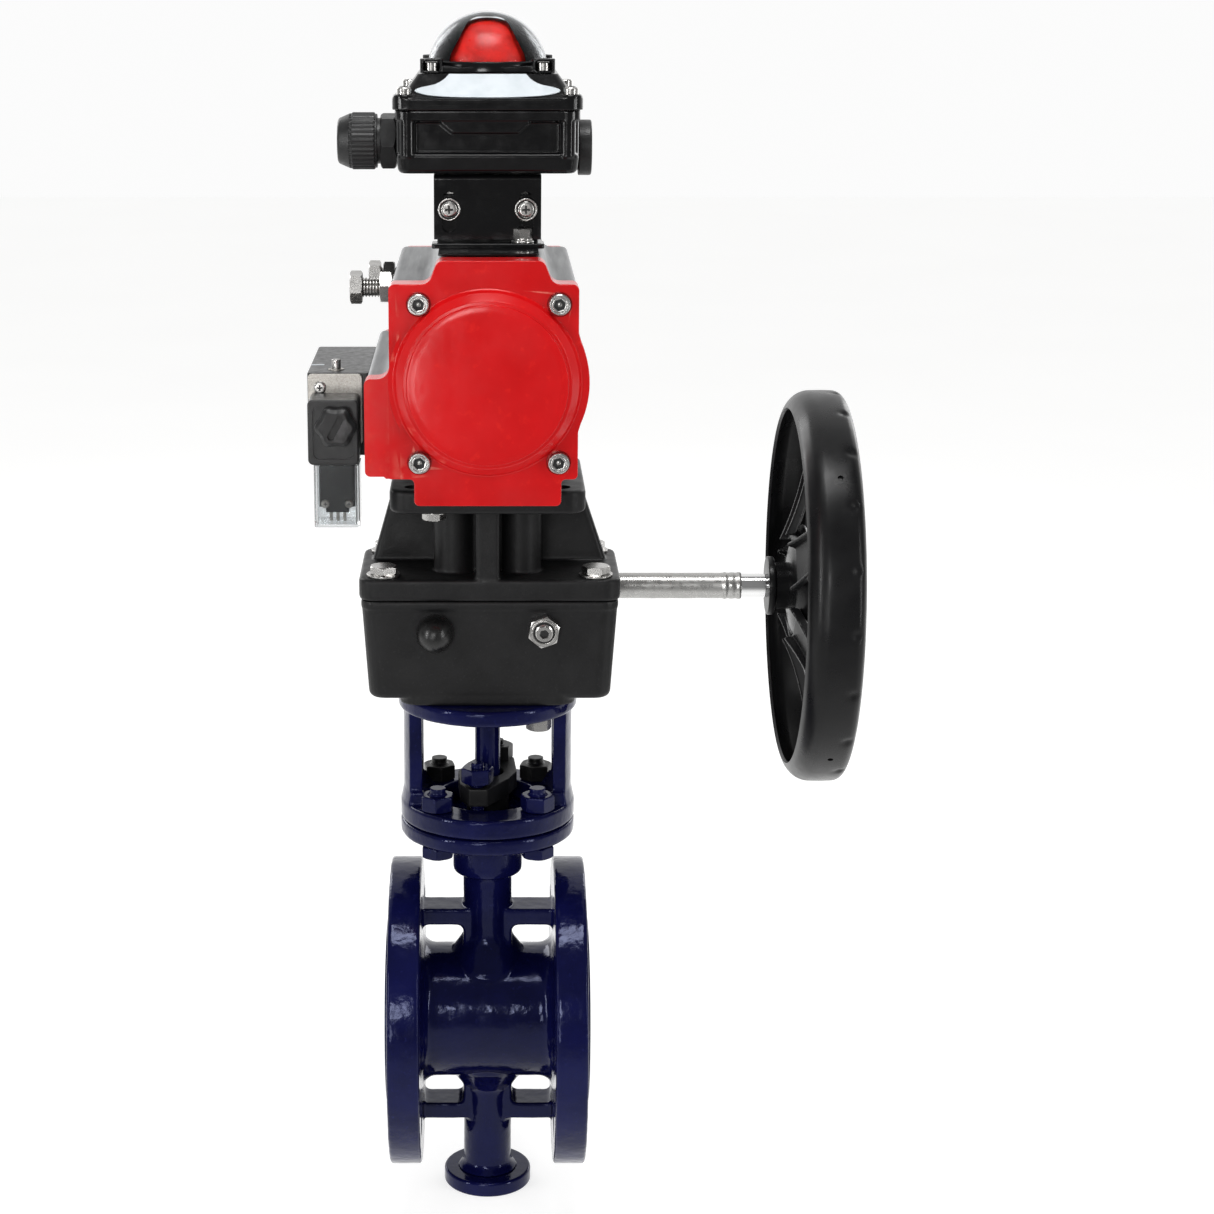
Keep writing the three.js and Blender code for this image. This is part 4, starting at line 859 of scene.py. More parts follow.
# ------------------------------------------------------------------ gland and yoke
GLAND = {"sleeve_bore": 7.0, "boss_r": 15.5, "lobe_r": 9.4, "lobe_share": 0.92, "bore": 8.6,
         "stud_hole_r": 4.3, "stud_r": 4.0, "nut_r": 8.6, "nut_height": 8.2, "nut_turn": 12,
         "tilt": 4.0}


def gland():
    low, high = span("gland_follower")
    sleeve = tube(high.x, GLAND["sleeve_bore"], low.z, high.z, edge=0.5)
    stand_in("gland_follower", sleeve, FINISH["gland"])
    stand_in("gland_plate", gland_plate(), FINISH["gland"])
    nut_low = span("gland_plate")[1].z + 0.3
    for node, finish in (("gland_stud_front", "blue"), ("gland_stud_rear", "gland")):
        low, high = span(node)
        at = (*middle(node).xy, 0)
        stud = threaded(GLAND["stud_r"], low.z, high.z, at=at)
        nut = hexagon(GLAND["nut_r"], nut_low, nut_low + GLAND["nut_height"], at=at,
                      turn=GLAND["nut_turn"])
        stand_in(node, cast(heap(stud, nut), 0.25, 2), FINISH[finish])


def gland_plate():
    """The convex outline round a centre boss and two stud lobes, drilled for stem and studs. It
    is pulled down a little unevenly, so it tilts."""
    low, high = span("gland_plate")
    studs = [middle("gland_stud_front").xy, middle("gland_stud_rear").xy]
    rounds = [((0, 0), GLAND["boss_r"], 8)]
    rounds += [(stud * GLAND["lobe_share"], GLAND["lobe_r"], 6) for stud in studs]
    points = []
    for centre, radius, sides in rounds:
        for i in range(sides):
            angle = TURN * i / sides
            points.append(Vector(centre) + radius * Vector((math.cos(angle), math.sin(angle))))
    outline = [tuple(points[i]) for i in convex_hull_2d(points)]
    drills = [rod(GLAND["bore"], low.z - 1, high.z + 1)]
    drills += [rod(GLAND["stud_hole_r"], low.z - 1, high.z + 1, at=(*stud, 0)) for stud in studs]
    plate = cut(prism(outline, low.z, high.z), *drills)
    return turned(cast(plate, 0.35, 3), GLAND["tilt"], "X", (0, 0, low.z))


YOKE = {"leg_outer": 44.3, "leg_inner": 37.9, "leg_half_y": 17.5, "base_set_in": 0.9,
        "base_bore": 26.5, "base_top": 224.0, "top_bore": 12.0, "top_low": 274.7,
        "leg_low": 220.0, "leg_high": 278.0}
YOKE_FLARE = {"inner": 34.0, "set_in": 1.2, "low": 223.0, "high": 231.0, "past_leg": 2.0}
YOKE_NUT = {"r": 9.0, "low": 224.3, "high": 232.5}


def outside(half_y):
    """Two blocks that take away whatever lies further forward or back than half_y."""
    reach, low, high = 60, 200, 300
    return (box((-reach, -reach, low), (reach, -half_y, high)),
            box((-reach, half_y, low), (reach, reach, high)))


def yoke():
    low, high = span("yoke")
    outer, inner, half_y = YOKE["leg_outer"], YOKE["leg_inner"], YOKE["leg_half_y"]
    base = tube(high.x - YOKE["base_set_in"], YOKE["base_bore"], low.z, YOKE["base_top"], edge=1.2,
                sides=128)
    top = tube(high.x, YOKE["top_bore"], YOKE["top_low"], high.z, edge=1.6, sides=128)
    legs = tube(outer, inner, YOKE["leg_low"], YOKE["leg_high"], sides=128)
    flare_low, flare_high = YOKE_FLARE["low"], YOKE_FLARE["high"]
    line = [(high.x - YOKE_FLARE["set_in"], flare_low), (outer, flare_high), (inner, flare_high),
            (YOKE_FLARE["inner"], flare_low)]
    flare = cut(lathe(line + line[:1], sides=128), *outside(half_y + YOKE_FLARE["past_leg"]))
    skin = cast(heap(base, top, cut(legs, *outside(half_y)), flare), 0.7, 5)
    stand_in("yoke", uneven(skin, 0.1, 8.0), FINISH["blue"], weighted=False)


def yoke_bolts():
    """Four bolts, each turned its own way. The front two are painted over with the body."""
    head_top = TOP_FLANGE["low"] - 0.3
    for i in range(1, 5):
        node = f"yoke_bolt_{i}"
        low, high = span(node)
        at = (*middle(node).xy, 0)
        solids = [hexagon(YOKE_NUT["r"], low.z, head_top, at=at, turn=10 + 17 * i),
                  threaded(5, head_top - 1, high.z, at=at, pitch=1.5),
                  hexagon(YOKE_NUT["r"], YOKE_NUT["low"], YOKE_NUT["high"], at=at, turn=25 * i)]
        finish = FINISH["blue"] if at[1] < 0 else FINISH["gland"]
        stand_in(node, cast(heap(*solids), 0.3, 3), finish, weighted=False)
    seat, at = YOKE["top_low"] - 0.1, (26.5, -22, 0)
    screw = heap(hexagon(6.6, 267, seat - 1, at=at, turn=8), washer(7.2, 3, seat - 1, seat, at=at))
    piece("yoke_top_screw", screw, FINISH["steel"])


# ------------------------------------------------------------------ gearbox
GEARBOX = {"corner": 8.0, "low": 286.5, "half_y": 36.0, "draft": 3.5, "lid_half_y": 37.0,
           "lid_top": 350.0, "drive_bore": 14.3}
PLATE = {"low": 386.2, "high": 398.0, "half_x": 49.0, "half_y": 48.0, "corner": 10.0,
         "hole_at": 37.0, "hole_r": 4.6, "bore": 10.0}
PEDESTAL = {"wall_foot": 61.5, "wall_head": 49.0, "core_r": 20.0, "column_r": 10.5,
            "column_x": 17.0, "column_y": -14.0}
TUNNEL = {"y": 40.2, "z": 325.7, "r": 16.5, "bore": 11.6, "from": -52.0, "to": 64.0}


def gearbox_housing():
    """A drafted tub on a square pad, with the declutching sleeve's tunnel along its back."""
    low, high = span("gearbox_housing")
    base, corner, front = GEARBOX["low"], GEARBOX["corner"], -GEARBOX["half_y"]
    draft = GEARBOX["draft"]
    shell = loft(rectangle(low.x + draft, high.x - draft, front + 1, -front - 1, corner),
                 rectangle(low.x, high.x, front, -front, corner), base, high.z)
    shell = soften(shell, 3.2, 4)
    pad = prism(rectangle(-45, 45, -35, 35, 10), low.z, base + 2)
    tunnel_at = (0, TUNNEL["y"], TUNNEL["z"])
    tunnel = rod(TUNNEL["r"], TUNNEL["from"], TUNNEL["to"], "x", tunnel_at, 1.5)
    tunnel = cut(tunnel, box((-80, 0, high.z), (80, 90, high.z + 40)))
    foot = loft(rectangle(low.x + 8, high.x - 8, 20, 36, 4),
                rectangle(low.x + 8, high.x - 8, 20, 50, 4), base + 3, TUNNEL["z"] - 6)
    lip = rectangle(low.x - 0.1, high.x + 0.1, front - 0.5, -front + 0.5, corner)
    skin = cast(heap(shell, pad, tunnel, foot, prism(lip, high.z - 4, high.z)), 0.75, 3)
    lever_slot = box((-5, TUNNEL["y"] + 6, base), (5, TUNNEL["y"] + 30, high.z + 1), 2)
    wheel_room = box((-44, -31, 296), (44, 31, high.z + 1), 4)
    openings = [rod(TUNNEL["bore"], -70, 80, "x", tunnel_at), lever_slot, wheel_room,
                rod(GEARBOX["drive_bore"], 200, 300)]
    openings += [rod(4.3, -50, -25, "y", (middle(node).x, 0, middle(node).z))
                 for node in ("stop_screw", "stop_screw_cap")]
    stand_in("gearbox_housing", cut(skin, *openings), FINISH["satin"], weighted=False)


def gearbox_cover():
    """The lid, the actuator's mounting plate, and the pedestal between them: a broad wall at the
    back, a rib in front, and a core with two columns."""
    low, high = span("gearbox_cover")
    centre = (low.x + high.x) / 2
    top, half_y = GEARBOX["lid_top"], GEARBOX["lid_half_y"]
    lid = prism(rectangle(low.x, high.x, -half_y, half_y, GEARBOX["corner"]), low.z, top)
    lid = soften(lid, 1.6, 3)
    plate = prism(rectangle(-PLATE["half_x"], PLATE["half_x"], -PLATE["half_y"], PLATE["half_y"],
                            PLATE["corner"]), PLATE["low"], PLATE["high"])
    plate = soften(plate, 1.8, 3)
    foot, head = top - 2, PLATE["low"] + 2
    wide, narrow = PEDESTAL["wall_foot"], PEDESTAL["wall_head"]
    wall = loft(rectangle(centre - wide, centre + wide, 6, 18, 3),
                rectangle(-narrow, narrow, 9, 21, 3), foot, head)
    rib = box((-6, -half_y + 0.6, foot), (6, 0, head), 1.0)
    core = rod(PEDESTAL["core_r"], foot, head)
    columns = [rod(PEDESTAL["column_r"], foot, head, at=(x, PEDESTAL["column_y"], 0))
               for x in (-PEDESTAL["column_x"], PEDESTAL["column_x"])]
    skin = cast(heap(lid, plate, wall, rib, core, *columns), 0.75, 4)
    at = PLATE["hole_at"]
    holes = [rod(PLATE["hole_r"], PLATE["low"] - 2, PLATE["high"] + 2, at=(x * at, y * at, 0))
             for x, y in CORNERS]
    holes += [rod(PLATE["bore"], low.z - 1, PLATE["high"] + 1),
              rod(GEARBOX["drive_bore"], low.z - 1, 342)]
    stand_in("gearbox_cover", cut(skin, *holes), FINISH["satin"], weighted=False)


def cover_bolts():
    """Four bolts, each turned its own way, with a washer on the lid."""
    seat = GEARBOX["lid_top"] + 0.1
    washer_top = seat + 1.2
    for i in range(1, 5):
        node = f"cover_bolt_{i}"
        low, high = span(node)
        at = (*middle(node).xy, 0)
        solids = heap(hexagon(7.4, washer_top, high.z, at=at, turn=8 + 22 * i),
                      washer(8.6, 3.6, seat, washer_top, at=at),
                      threaded(3.4, low.z, washer_top + 0.2, at=at, pitch=1.0))
        stand_in(node, solids, FINISH["steel"])


def stop_screws():
    """The left stop screw stands open in its nut. The right one is under a round rubber cap."""
    low, high = span("stop_screw")
    at = middle("stop_screw")
    axis_at = (at.x, 0, at.z)
    nut = hexagon(8.4, low.y + 3.4, -36.2, "y", axis_at, turn=20)
    ring = tube(6.6, 5.4, low.y + 2.8, low.y + 3.8, "y", axis_at, 0.3)
    # A dark ring in the gap between nut and ring, and a dark socket floor: painted shade.
    gap = shaded(tube(5.5, 4.2, low.y + 3.1, low.y + 3.8, "y", axis_at, 0.1))
    tip, socket_r = -low.y, 2.5
    shaft = threaded(4.4, -high.y, tip - 0.2, pitch=1.0)
    shaft = cut(shaft, turned(rod(socket_r, tip - 3.2, tip + 1, sides=6), 12, "Z"))
    floor = shaded(rod(socket_r + 0.1, tip - 3, tip - 1.6, sides=32))
    screw = moved(facing(heap(shaft, floor), "-y"), *axis_at)
    stand_in("stop_screw", heap(nut, screw, ring, gap), SCREW)
    low, high = span("stop_screw_cap")
    at = middle("stop_screw_cap")
    r, dome_depth, steps = high.x - at.x, 0.72 * (high.y - low.y), 12
    round_end = [(r * math.sin(a), low.y + dome_depth * (1 - math.cos(a)))
                 for a in [math.pi / 2 * i / steps for i in range(steps + 1)]]
    cap = lathe(round_end + [(r, high.y), (0, high.y)], "y", (at.x, 0, at.z))
    stand_in("stop_screw_cap", cap, FINISH["rubber"])


def plate_screw():
    """The one screw that shows under the actuator's mounting plate."""
    at = (-26.8, -37, 0)
    top = PLATE["low"] - 0.1
    screw = heap(hexagon(6.0, top - 4.6, top - 1.1, at=at), washer(7, 3, top - 1.1, top, at=at))
    piece("actuator_plate_screw", screw, FINISH["steel"])


def declutch_lever():
    """A stick with a mushroom knob. It is drawn upwards, then turned to lie back and down."""
    pivot = Vector(JOINTS["declutch_turn"]["pos_m"]) / MM
    stick_from, rise, lean = 11.8, 44.0, -135
    stick = lathe(profile((0, stick_from), (3.2, stick_from), (3.2, rise - 8), (2.6, rise + 1),
                          (0, rise + 1)), sides=40)
    knob = lathe(profile((0, rise - 4), (4, rise - 4, 1), (6.5, rise + 2, 3), (6.5, rise + 6, 3),
                         (3, rise + 11, 2), (0, rise + 11), steps=6), sides=64)
    whole = turned(join(stick, knob), lean, "X")
    stand_in("declutch_lever", moved(whole, 0, pivot.y, pivot.z), FINISH["wheel"])


# ------------------------------------------------------------------ handwheel
SHAFT = {"r": 6.5, "journal_r": 6.0, "worm_root_r": 7.0, "worm_r": 8.8, "lead": 8.0, "turns": 5,
         "film_from": 70.5, "film_to": 136.0}
WHEEL = {"rim_inner_face": 160.0, "sheet": 1.6, "arm_sheet": 2.0, "arms": 5}
HUB = {"back": 149.9, "collar_r": 15.8, "r": 12.6, "face": 166.0, "bore": 6.3}
DENT = {"count": 20, "from_face": 5.5, "depth": 1.1, "r": 2.4}


def wheel_axis():
    """A point on the handwheel's axis, in the plane through the stem."""
    axis = Vector(JOINTS["handwheel_turn"]["pos_m"]) / MM
    return (0, axis.y, axis.z)


def shaft():
    """The worm and its long chromed shaft, which still wears part of its protective film."""
    low, high = span("worm_shaft")
    at = wheel_axis()
    r, journal, root, crest = SHAFT["r"], SHAFT["journal_r"], SHAFT["worm_root_r"], SHAFT["worm_r"]
    points = [(0, low.x), (journal, low.x), (journal, -21)]
    for i in range(SHAFT["turns"]):
        x = -20 + SHAFT["lead"] * i
        points += [(root, x), (crest, x + 2.4), (crest, x + 4.8), (root, x + 7.2)]
    points += [(root, 20), (journal, 21), (journal, 64), (r, 64.5), (r, 148.9), (journal, 149.4),
               (journal, high.x - 1), (5.2, high.x), (0, high.x)]
    stand_in("worm_shaft", lathe(points, "x", at, 96), FINISH["chrome"])
    film_from, film_to = SHAFT["film_from"], SHAFT["film_to"]
    rolls = [(127.4, 0.4, 0.9), (131.0, 0.25, 1.4), (134.9, 0.45, 0.9)]
    clearance, thickness, steps = 0.42, 0.25, 90
    outer = []
    for i in range(steps + 1):
        x = film_from + (film_to - film_from) * i / steps
        bunch = sum(rise * math.exp(-((x - place) / width) ** 2) for place, rise, width in rolls)
        outer.append((r + clearance + bunch, x))
    sleeve = outer + [(radius - thickness, x) for radius, x in outer[::-1]]

    def crumple(radius, height, angle):
        place = Vector((math.cos(angle) * 1.5, math.sin(angle) * 1.5, height / 9))
        return radius + 0.08 * noise.noise(place)

    wrap = lathe(sleeve + sleeve[:1], "x", at, 72, crumple)
    piece("shaft_film", wrap, FINISH["film"], "worm")


def smooth_line(points, steps=6):
    """A Catmull-Rom curve through (u, v) points."""
    done = []
    last = len(points) - 1
    for i in range(last):
        a, b, c, d = (Vector(points[max(0, min(last, i + k))]) for k in (-1, 0, 1, 2))
        for step in range(steps):
            t = step / steps
            done.append(0.5 * (2 * b + (c - a) * t + (2 * a - 5 * b + 4 * c - d) * t ** 2
                               + (3 * b - a - 3 * c + d) * t ** 3))
    return [tuple(v) for v in done] + [tuple(points[-1])]


def sheet_ring(line, thickness):
    """The closed section of a sheet whose outer side follows the line."""
    inner = []
    for i, point in enumerate(line):
        ahead = Vector(line[min(i + 1, len(line) - 1)]) - Vector(line[max(i - 1, 0)])
        side = Vector((-ahead.y, ahead.x)).normalized() * thickness
        inner.append((point[0] + side.x, point[1] + side.y))
    return line + inner[::-1] + line[:1]


def handwheel():
    """A rolled sheet rim with grip dents and drain holes, a hub, and five pressed arms."""
    high = span("handwheel")[1]
    at = wheel_axis()
    r, lip, far = high.z - at[2], WHEEL["rim_inner_face"], high.x
    outer = smooth_line([(r - 9.5, lip), (r - 6, lip + 1.4), (r - 2.6, lip + 4.4), (r - 0.7, lip + 8),
                         (r - 0.05, lip + 12), (r - 0.05, far - 7), (r - 0.9, far - 3.4),
                         (r - 3.2, far - 1.3), (r - 7.5, far - 0.2), (r - 12.5, far - 1.2),
                         (r - 15.8, far - 4.4), (r - 16.4, far - 8)])

    def dented(radius, height, angle):
        if radius < r - 6:
            return radius
        around = ((angle * DENT["count"] / TURN + 0.5) % 1 - 0.5) * TURN * r / DENT["count"]
        along = height - (far - DENT["from_face"])
        return radius - DENT["depth"] * math.exp(-(around ** 2 + along ** 2) / DENT["r"] ** 2)

    rim = lathe(sheet_ring(outer, WHEEL["sheet"]), "x", at, 600, dented)
    drain = moved(rod(1.5, r - 1.3, r + 4, sides=24), lip + 17, *at[1:])
    rim = cut(rim, *[turned(drain.copy(), 45 + 90 * i, "X", at) for i in range(4)])
    collar, hub_r, back, face = HUB["collar_r"], HUB["r"], HUB["back"], HUB["face"]
    hub_line = profile((0, back), (collar, back, 0.8), (collar, 153.4, 0.8), (hub_r, 154, 0.8),
                       (hub_r, face, 1.2), (0, face))
    hub = cut(lathe(hub_line, "x", at), rod(HUB["bore"], 140, 170, "x", at))
    bowl_line = smooth_line([(9.5, 161.5), (16, 161.6), (23, 163.2), (29, 166.4), (33, 169.2)])
    bowl = lathe(sheet_ring(bowl_line, WHEEL["arm_sheet"])[::-1], "x", at)
    arm, count = moved(wheel_arm(r), *at), WHEEL["arms"]
    arms = [turned(arm.copy(), 270 + 360 / count * i, "X", at) for i in range(count)]
    pressed = cast(heap(bowl, *arms), 0.6, 3)
    stand_in("handwheel", heap(rim, hub, pressed), FINISH["wheel"], weighted=False)


def wheel_arm(r):
    """One pressed arm, drawn towards +Z: a channel whose flanges point at the valve. It narrows
    outwards and flares where it meets the rim."""
    path = smooth_line([(26, 164.6), (36, 168.6), (50, 173.0), (66, 176.8), (80, 179.4),
                        (r - 14.5, 181.0)], 5)
    wall, splay, flare_from = WHEEL["arm_sheet"], 1.5, 0.85
    bm = bmesh.new()
    rows = []
    for i, (out, x) in enumerate(path):
        share = i / (len(path) - 1)
        half = 12.5 - 4.5 * share
        if share > flare_from:
            half += (share - flare_from) * 26
        depth = 6.0 - 2.2 * share
        section = [(-half - splay, -depth), (-half, 0), (half, 0), (half + splay, -depth),
                   (half + splay - wall, -depth), (half - wall, -wall), (-half + wall, -wall),
                   (-half - splay + wall, -depth)]
        rows.append([bm.verts.new((x + dx, y, out)) for y, dx in section])
    for a, b in zip(rows, rows[1:]):
        for i in range(len(a)):
            j = (i + 1) % len(a)
            bm.faces.new((a[i], a[j], b[j], b[i]))
    bm.faces.new(rows[0])
    bm.faces.new(rows[-1])
    return mesh_from(bm)


def handwheel_nut():
    low, high = span("handwheel_nut")
    at = wheel_axis()
    nut = hexagon(8.0, low.x, high.x, "x", at, 12)
    nut = cut(nut, rod(6.2, low.x - 1, high.x + 1, "x", at))
    stand_in("handwheel_nut", nut, FINISH["steel"])


# ------------------------------------------------------------------ pneumatic actuator
CYLINDER = {"z": 459.3, "r": 48.3, "low": 400.0, "high": 517.0, "half": 75.0, "bore": 44.0}
SHOULDER = {"left": -46.5, "right": 43.0, "low": 413.0, "high": 506.0}
TOP_PAD = (-23.5, 26.5)
BOTTOM_PAD = (-35.0, 35.2)
TOP_PAD_SLOPE = 4.2
VALVE_PAD = {"left": -58.5, "low": 414.0, "high": 461.0}
CAP = {"flange": 16.0, "bulge": 10.0, "root_r": 44.4, "face_r": 38.0, "gasket": 0.6, "crown": 1.0,
       "hollow_r": 35.5, "counterbore_r": 5.9, "counterbore": 1.5}
CAP_STEPS = [(SHOULDER["left"], 1.7), (SHOULDER["left"] + 5, 0.8)]
CAP_SCREWS = [(-32.4, 421.3), (33.8, 421.3), (-32.4, 496.7), (33.8, 496.7)]
REAR_CAP_SET_IN = 1.9
STROKE_BOLT = {"hex_r": 8.3, "head": 6.0, "shank_r": 5.0, "nut_from": -53.2, "nut_to": -47.5}


def extrusion_outline(inset=0.0):
    """Shoulders, pads above and below, the solenoid's pad on the left and a round belly on the
    right, all set in by inset."""
    axis_z, pad = CYLINDER["z"], VALVE_PAD
    right, left = SHOULDER["right"] - inset, SHOULDER["left"] + inset
    low, high = SHOULDER["low"] + inset, SHOULDER["high"] - inset
    foot, top = CYLINDER["low"] + inset, CYLINDER["high"] - inset
    foot_left, foot_right = BOTTOM_PAD[0] + inset, BOTTOM_PAD[1] - inset
    top_left, top_right = TOP_PAD[0] + inset, TOP_PAD[1] - inset
    pad_left, pad_low, pad_high = pad["left"] + inset, pad["low"] + inset, pad["high"] - inset
    belly = CYLINDER["r"] - inset
    rise = math.sqrt(belly ** 2 - right ** 2)
    angle = math.degrees(math.asin(rise / belly))
    curve = arc((0, axis_z), belly, -angle, angle, 16)
    before = [(pad_left, pad_low, 2.6), (left - 3, pad_low, 0.5), (left - 2, low, 0.5),
              (foot_left, low, 2.2), (foot_left, foot, 2.6), (foot_right, foot, 2.6),
              (foot_right, low, 2.2), (right, low, 2.2), (right, axis_z - rise - 1.5, 4)]
    after = [(right, axis_z + rise + 1.5, 4), (right, high, 3), (top_right + TOP_PAD_SLOPE, high, 5),
             (top_right, top, 4.2), (top_left, top, 4.2), (top_left - TOP_PAD_SLOPE, high, 5),
             (left, high, 3), (left, pad_high, 6.5), (pad_left, pad_high, 3)]
    return fillet(before + curve[1:-1] + after, 6)


def end_cap(inset):
    """The front cap: a flange in the extrusion's outline, and a cone with a flat disc in front."""
    inner = CYLINDER["half"] + CAP["gasket"]
    face = inner + CAP["flange"]
    front = face + CAP["bulge"]
    at = (0, 0, CYLINDER["z"])
    rim = soften(prism(extrusion_outline(inset), -face, -inner, "y"), 0.9, 3)
    for edge_x, depth in CAP_STEPS:
        rim = cut(rim, box((-70, -face - 1, 380), (edge_x, -face + depth, 530)))
    root, disc_r, crown = CAP["root_r"], CAP["face_r"], CAP["crown"]
    cone = profile((root + 2.6, -face + 0.6), (root, -face - 0.1, 1.6), (root - 1.2, -face - 3.2, 1.2),
                   (disc_r + 1.8, -front + 2.6, 1.0), (disc_r + 0.2, -front + 2.4, 0.3),
                   (disc_r, -front + crown, 0.4), (disc_r - 1.4, -front + crown - 0.1), steps=3)
    disc = [(disc_r * math.cos(t), -front + 0.9 * crown * (1 - math.sin(t)))
            for t in [math.radians(20 + 7 * i) for i in range(10)]]
    line = cone + disc + [(0, -front)]
    bulge = lathe([(0, -face + 4), (line[0][0], -face + 4)] + line, "y", at, 160)
    hollow = rod(CAP["hollow_r"], -front + 5.5, -inner + 1, "y", at, sides=96)
    whole = cut(join(rim, bulge), hollow)
    seats = [rod(CAP["counterbore_r"], -face - 6, -face + CAP["counterbore"], "y", (x, 0, z))
             for x, z in CAP_SCREWS]
    return soften(cut(whole, *seats), 0.35, 2)


def end_caps():
    """The rear cap is drawn a little smaller, because it stays hidden behind the body."""
    stand_in("front_end_cap", end_cap(0), FINISH["red"])
    stand_in("rear_end_cap", mirrored(end_cap(REAR_CAP_SET_IN), "Y"), FINISH["red"])
    seat = CYLINDER["half"] + CAP["gasket"] + CAP["flange"] - CAP["counterbore"]
    for end, toward, sign in (("front", "-y", -1), ("rear", "+y", 1)):
        for i, (x, z) in enumerate(CAP_SCREWS):
            screw = facing(heap(socket_screw(5.1, 4.6), rod(3, -22, 0.5)), toward)
            made = moved(screw, x, sign * seat, z)
            piece(f"{end}_cap_screw_{i + 1}", made, SCREW)


def cylinder():
    half, bore = CYLINDER["half"], CYLINDER["bore"]
    body = soften(prism(extrusion_outline(0.5), -half, half, "y"), 0.5, 2)
    at = (0, 0, CYLINDER["z"])
    tools = [rod(bore, -half - 1, half + 1, "y", at, sides=128), rod(12.8, 390, 530)]
    for node in ("front_stroke_bolt", "rear_stroke_bolt"):
        tools.append(rod(5.3, -70, -30, "x", (0, middle(node).y, middle(node).z)))
    top, hole_x, hole_y = CYLINDER["high"], 15, 30
    for y, x in CORNERS:
        tools.append(rod(2.5, top - 8, top + 1, at=(x * hole_x, y * hole_y, 0), sides=32))
    stand_in("cylinder_body", soften(cut(body, *tools), 0.3, 1), FINISH["anodised"])
    for end, sign in (("front", -1), ("rear", 1)):
        inner = sorted((sign * half, sign * (half + CAP["gasket"])))
        gasket = prism(extrusion_outline(0.9), *inner, "y")
        gasket = cut(gasket, rod(bore, -90, 90, "y", at))
        piece(f"{end}_cap_gasket", gasket, FINISH["rubber"])


def stroke_bolts():
    bolt = STROKE_BOLT
    for node in ("front_stroke_bolt", "rear_stroke_bolt"):
        low, high = span(node)
        at = (0, middle(node).y, middle(node).z)
        head = hexagon(bolt["hex_r"], low.x, low.x + bolt["head"], "x", at, 14)
        shank = threaded(bolt["shank_r"], low.x + bolt["head"] - 0.4, high.x, "x", at, 1.5)
        nut = hexagon(bolt["hex_r"], bolt["nut_from"], bolt["nut_to"], "x", at, -11)
        stand_in(node, heap(head, shank, nut), FINISH["steel"])


# ------------------------------------------------------------------ pilot solenoid valve
def solenoid():
    """The pilot valve's block with its plate, and the manual override: a collar and a button
    that has room to sink."""
    low, high = span("solenoid_body")
    button_low, button_high = span("override_button")
    at = (middle("override_button").x, middle("override_button").y, 0)
    press_room, hole_r, collar_r = 3.2, 2.7, 4.0
    block = soften(box(low, high, 1.6), 0.6, 2)
    tools = [rod(hole_r, button_low.z - press_room, high.z + 2, at=at),
             rod(collar_r + 0.2, high.z - 0.8, high.z + 1, at=at)]
    stand_in("solenoid_body", soften(cut(block, *tools), 0.2, 1), FINISH["coil"])
    mark = box((low.x + 0.5, low.y + 24, high.z - 0.2), (low.x + 7, low.y + 27, high.z + 0.15), 0.4)
    piece("solenoid_port_mark", mark, FINISH["label"])
    collar = tube(collar_r, hole_r, high.z - 0.9, high.z + 0.4, at=at, edge=0.2)
    piece("override_collar", collar, FINISH["nickel"])
    slot = box((at[0] - 3, at[1] - 0.35, button_high.z - 0.9),
               (at[0] + 3, at[1] + 0.35, button_high.z + 1))
    button = cut(rod(2.3, button_low.z, button_high.z, at=at, edge=0.5), slot)
    stand_in("override_button", button, FINISH["steel"])
    plate = box((low.x + 0.4, low.y - 1.6, 418), (high.x - 3.4, low.y - 0.1, high.z - 0.3), 2.2, "y")
    piece("pilot_plate", soften(plate, 0.45, 2), FINISH["nickel"])
    screw = moved(facing(pan_screw(3.2, 1.2), "-y"), low.x + 6.4, low.y - 1.6, high.z - 7.2)
    piece("pilot_plate_screw", screw, SCREW)


def coil():
    """The coil's block, raised a little at the top, with a round-cornered panel in its front."""
    low, high = span("solenoid_coil")
    at = middle("coil_nut")
    body = soften(box(low, high, 2.6, "y"), 1.0, 3)
    boss = box((low.x + 4, low.y + 6, high.z - 4), (high.x - 5, high.y - 2, high.z - 0.4), 1.5)
    hole = rod(4.9, low.y - 1, high.y + 1, "y", (at.x, 0, at.z))
    panel = box((low.x + 2.6, low.y - 1, low.z + 3), (high.x - 2.6, low.y + 0.8, high.z - 3), 3, "y")
    body = cut(join(body, soften(boss, 0.6)), hole, panel)
    stand_in("solenoid_coil", soften(body, 0.4, 2), FINISH["coil"])


def coil_nut():
    """A six-lobed knob with a slot, on a round core."""
    low, high = span("coil_nut")
    at = (middle("coil_nut").x, 0, middle("coil_nut").z)
    r, face, lobes, lobe_depth = high.x - at[0], -49.3, 6, 0.07

    def lobed(radius, height, angle):
        if radius < r * 0.6:
            return radius
        return radius * (1 - lobe_depth + lobe_depth * math.cos(lobes * angle))

    outline = profile((0, low.y), (r * 0.8, low.y, 1.2), (r, low.y + 2, 1.2), (r, face, 0.5), (0, face))
    knob = lathe(outline, "y", at, 96, lobed)
    slot = turned(box((-1.7, low.y - 1, -6.5), (1.7, low.y + 1.6, 6.5), 1.6, "y"), 28, "Y")
    core = rod(4.4, face - 0.5, high.y, "y", at)
    stand_in("coil_nut", soften(join(cut(knob, moved(slot, *at)), core), 0.3, 2), FINISH["plastic"])


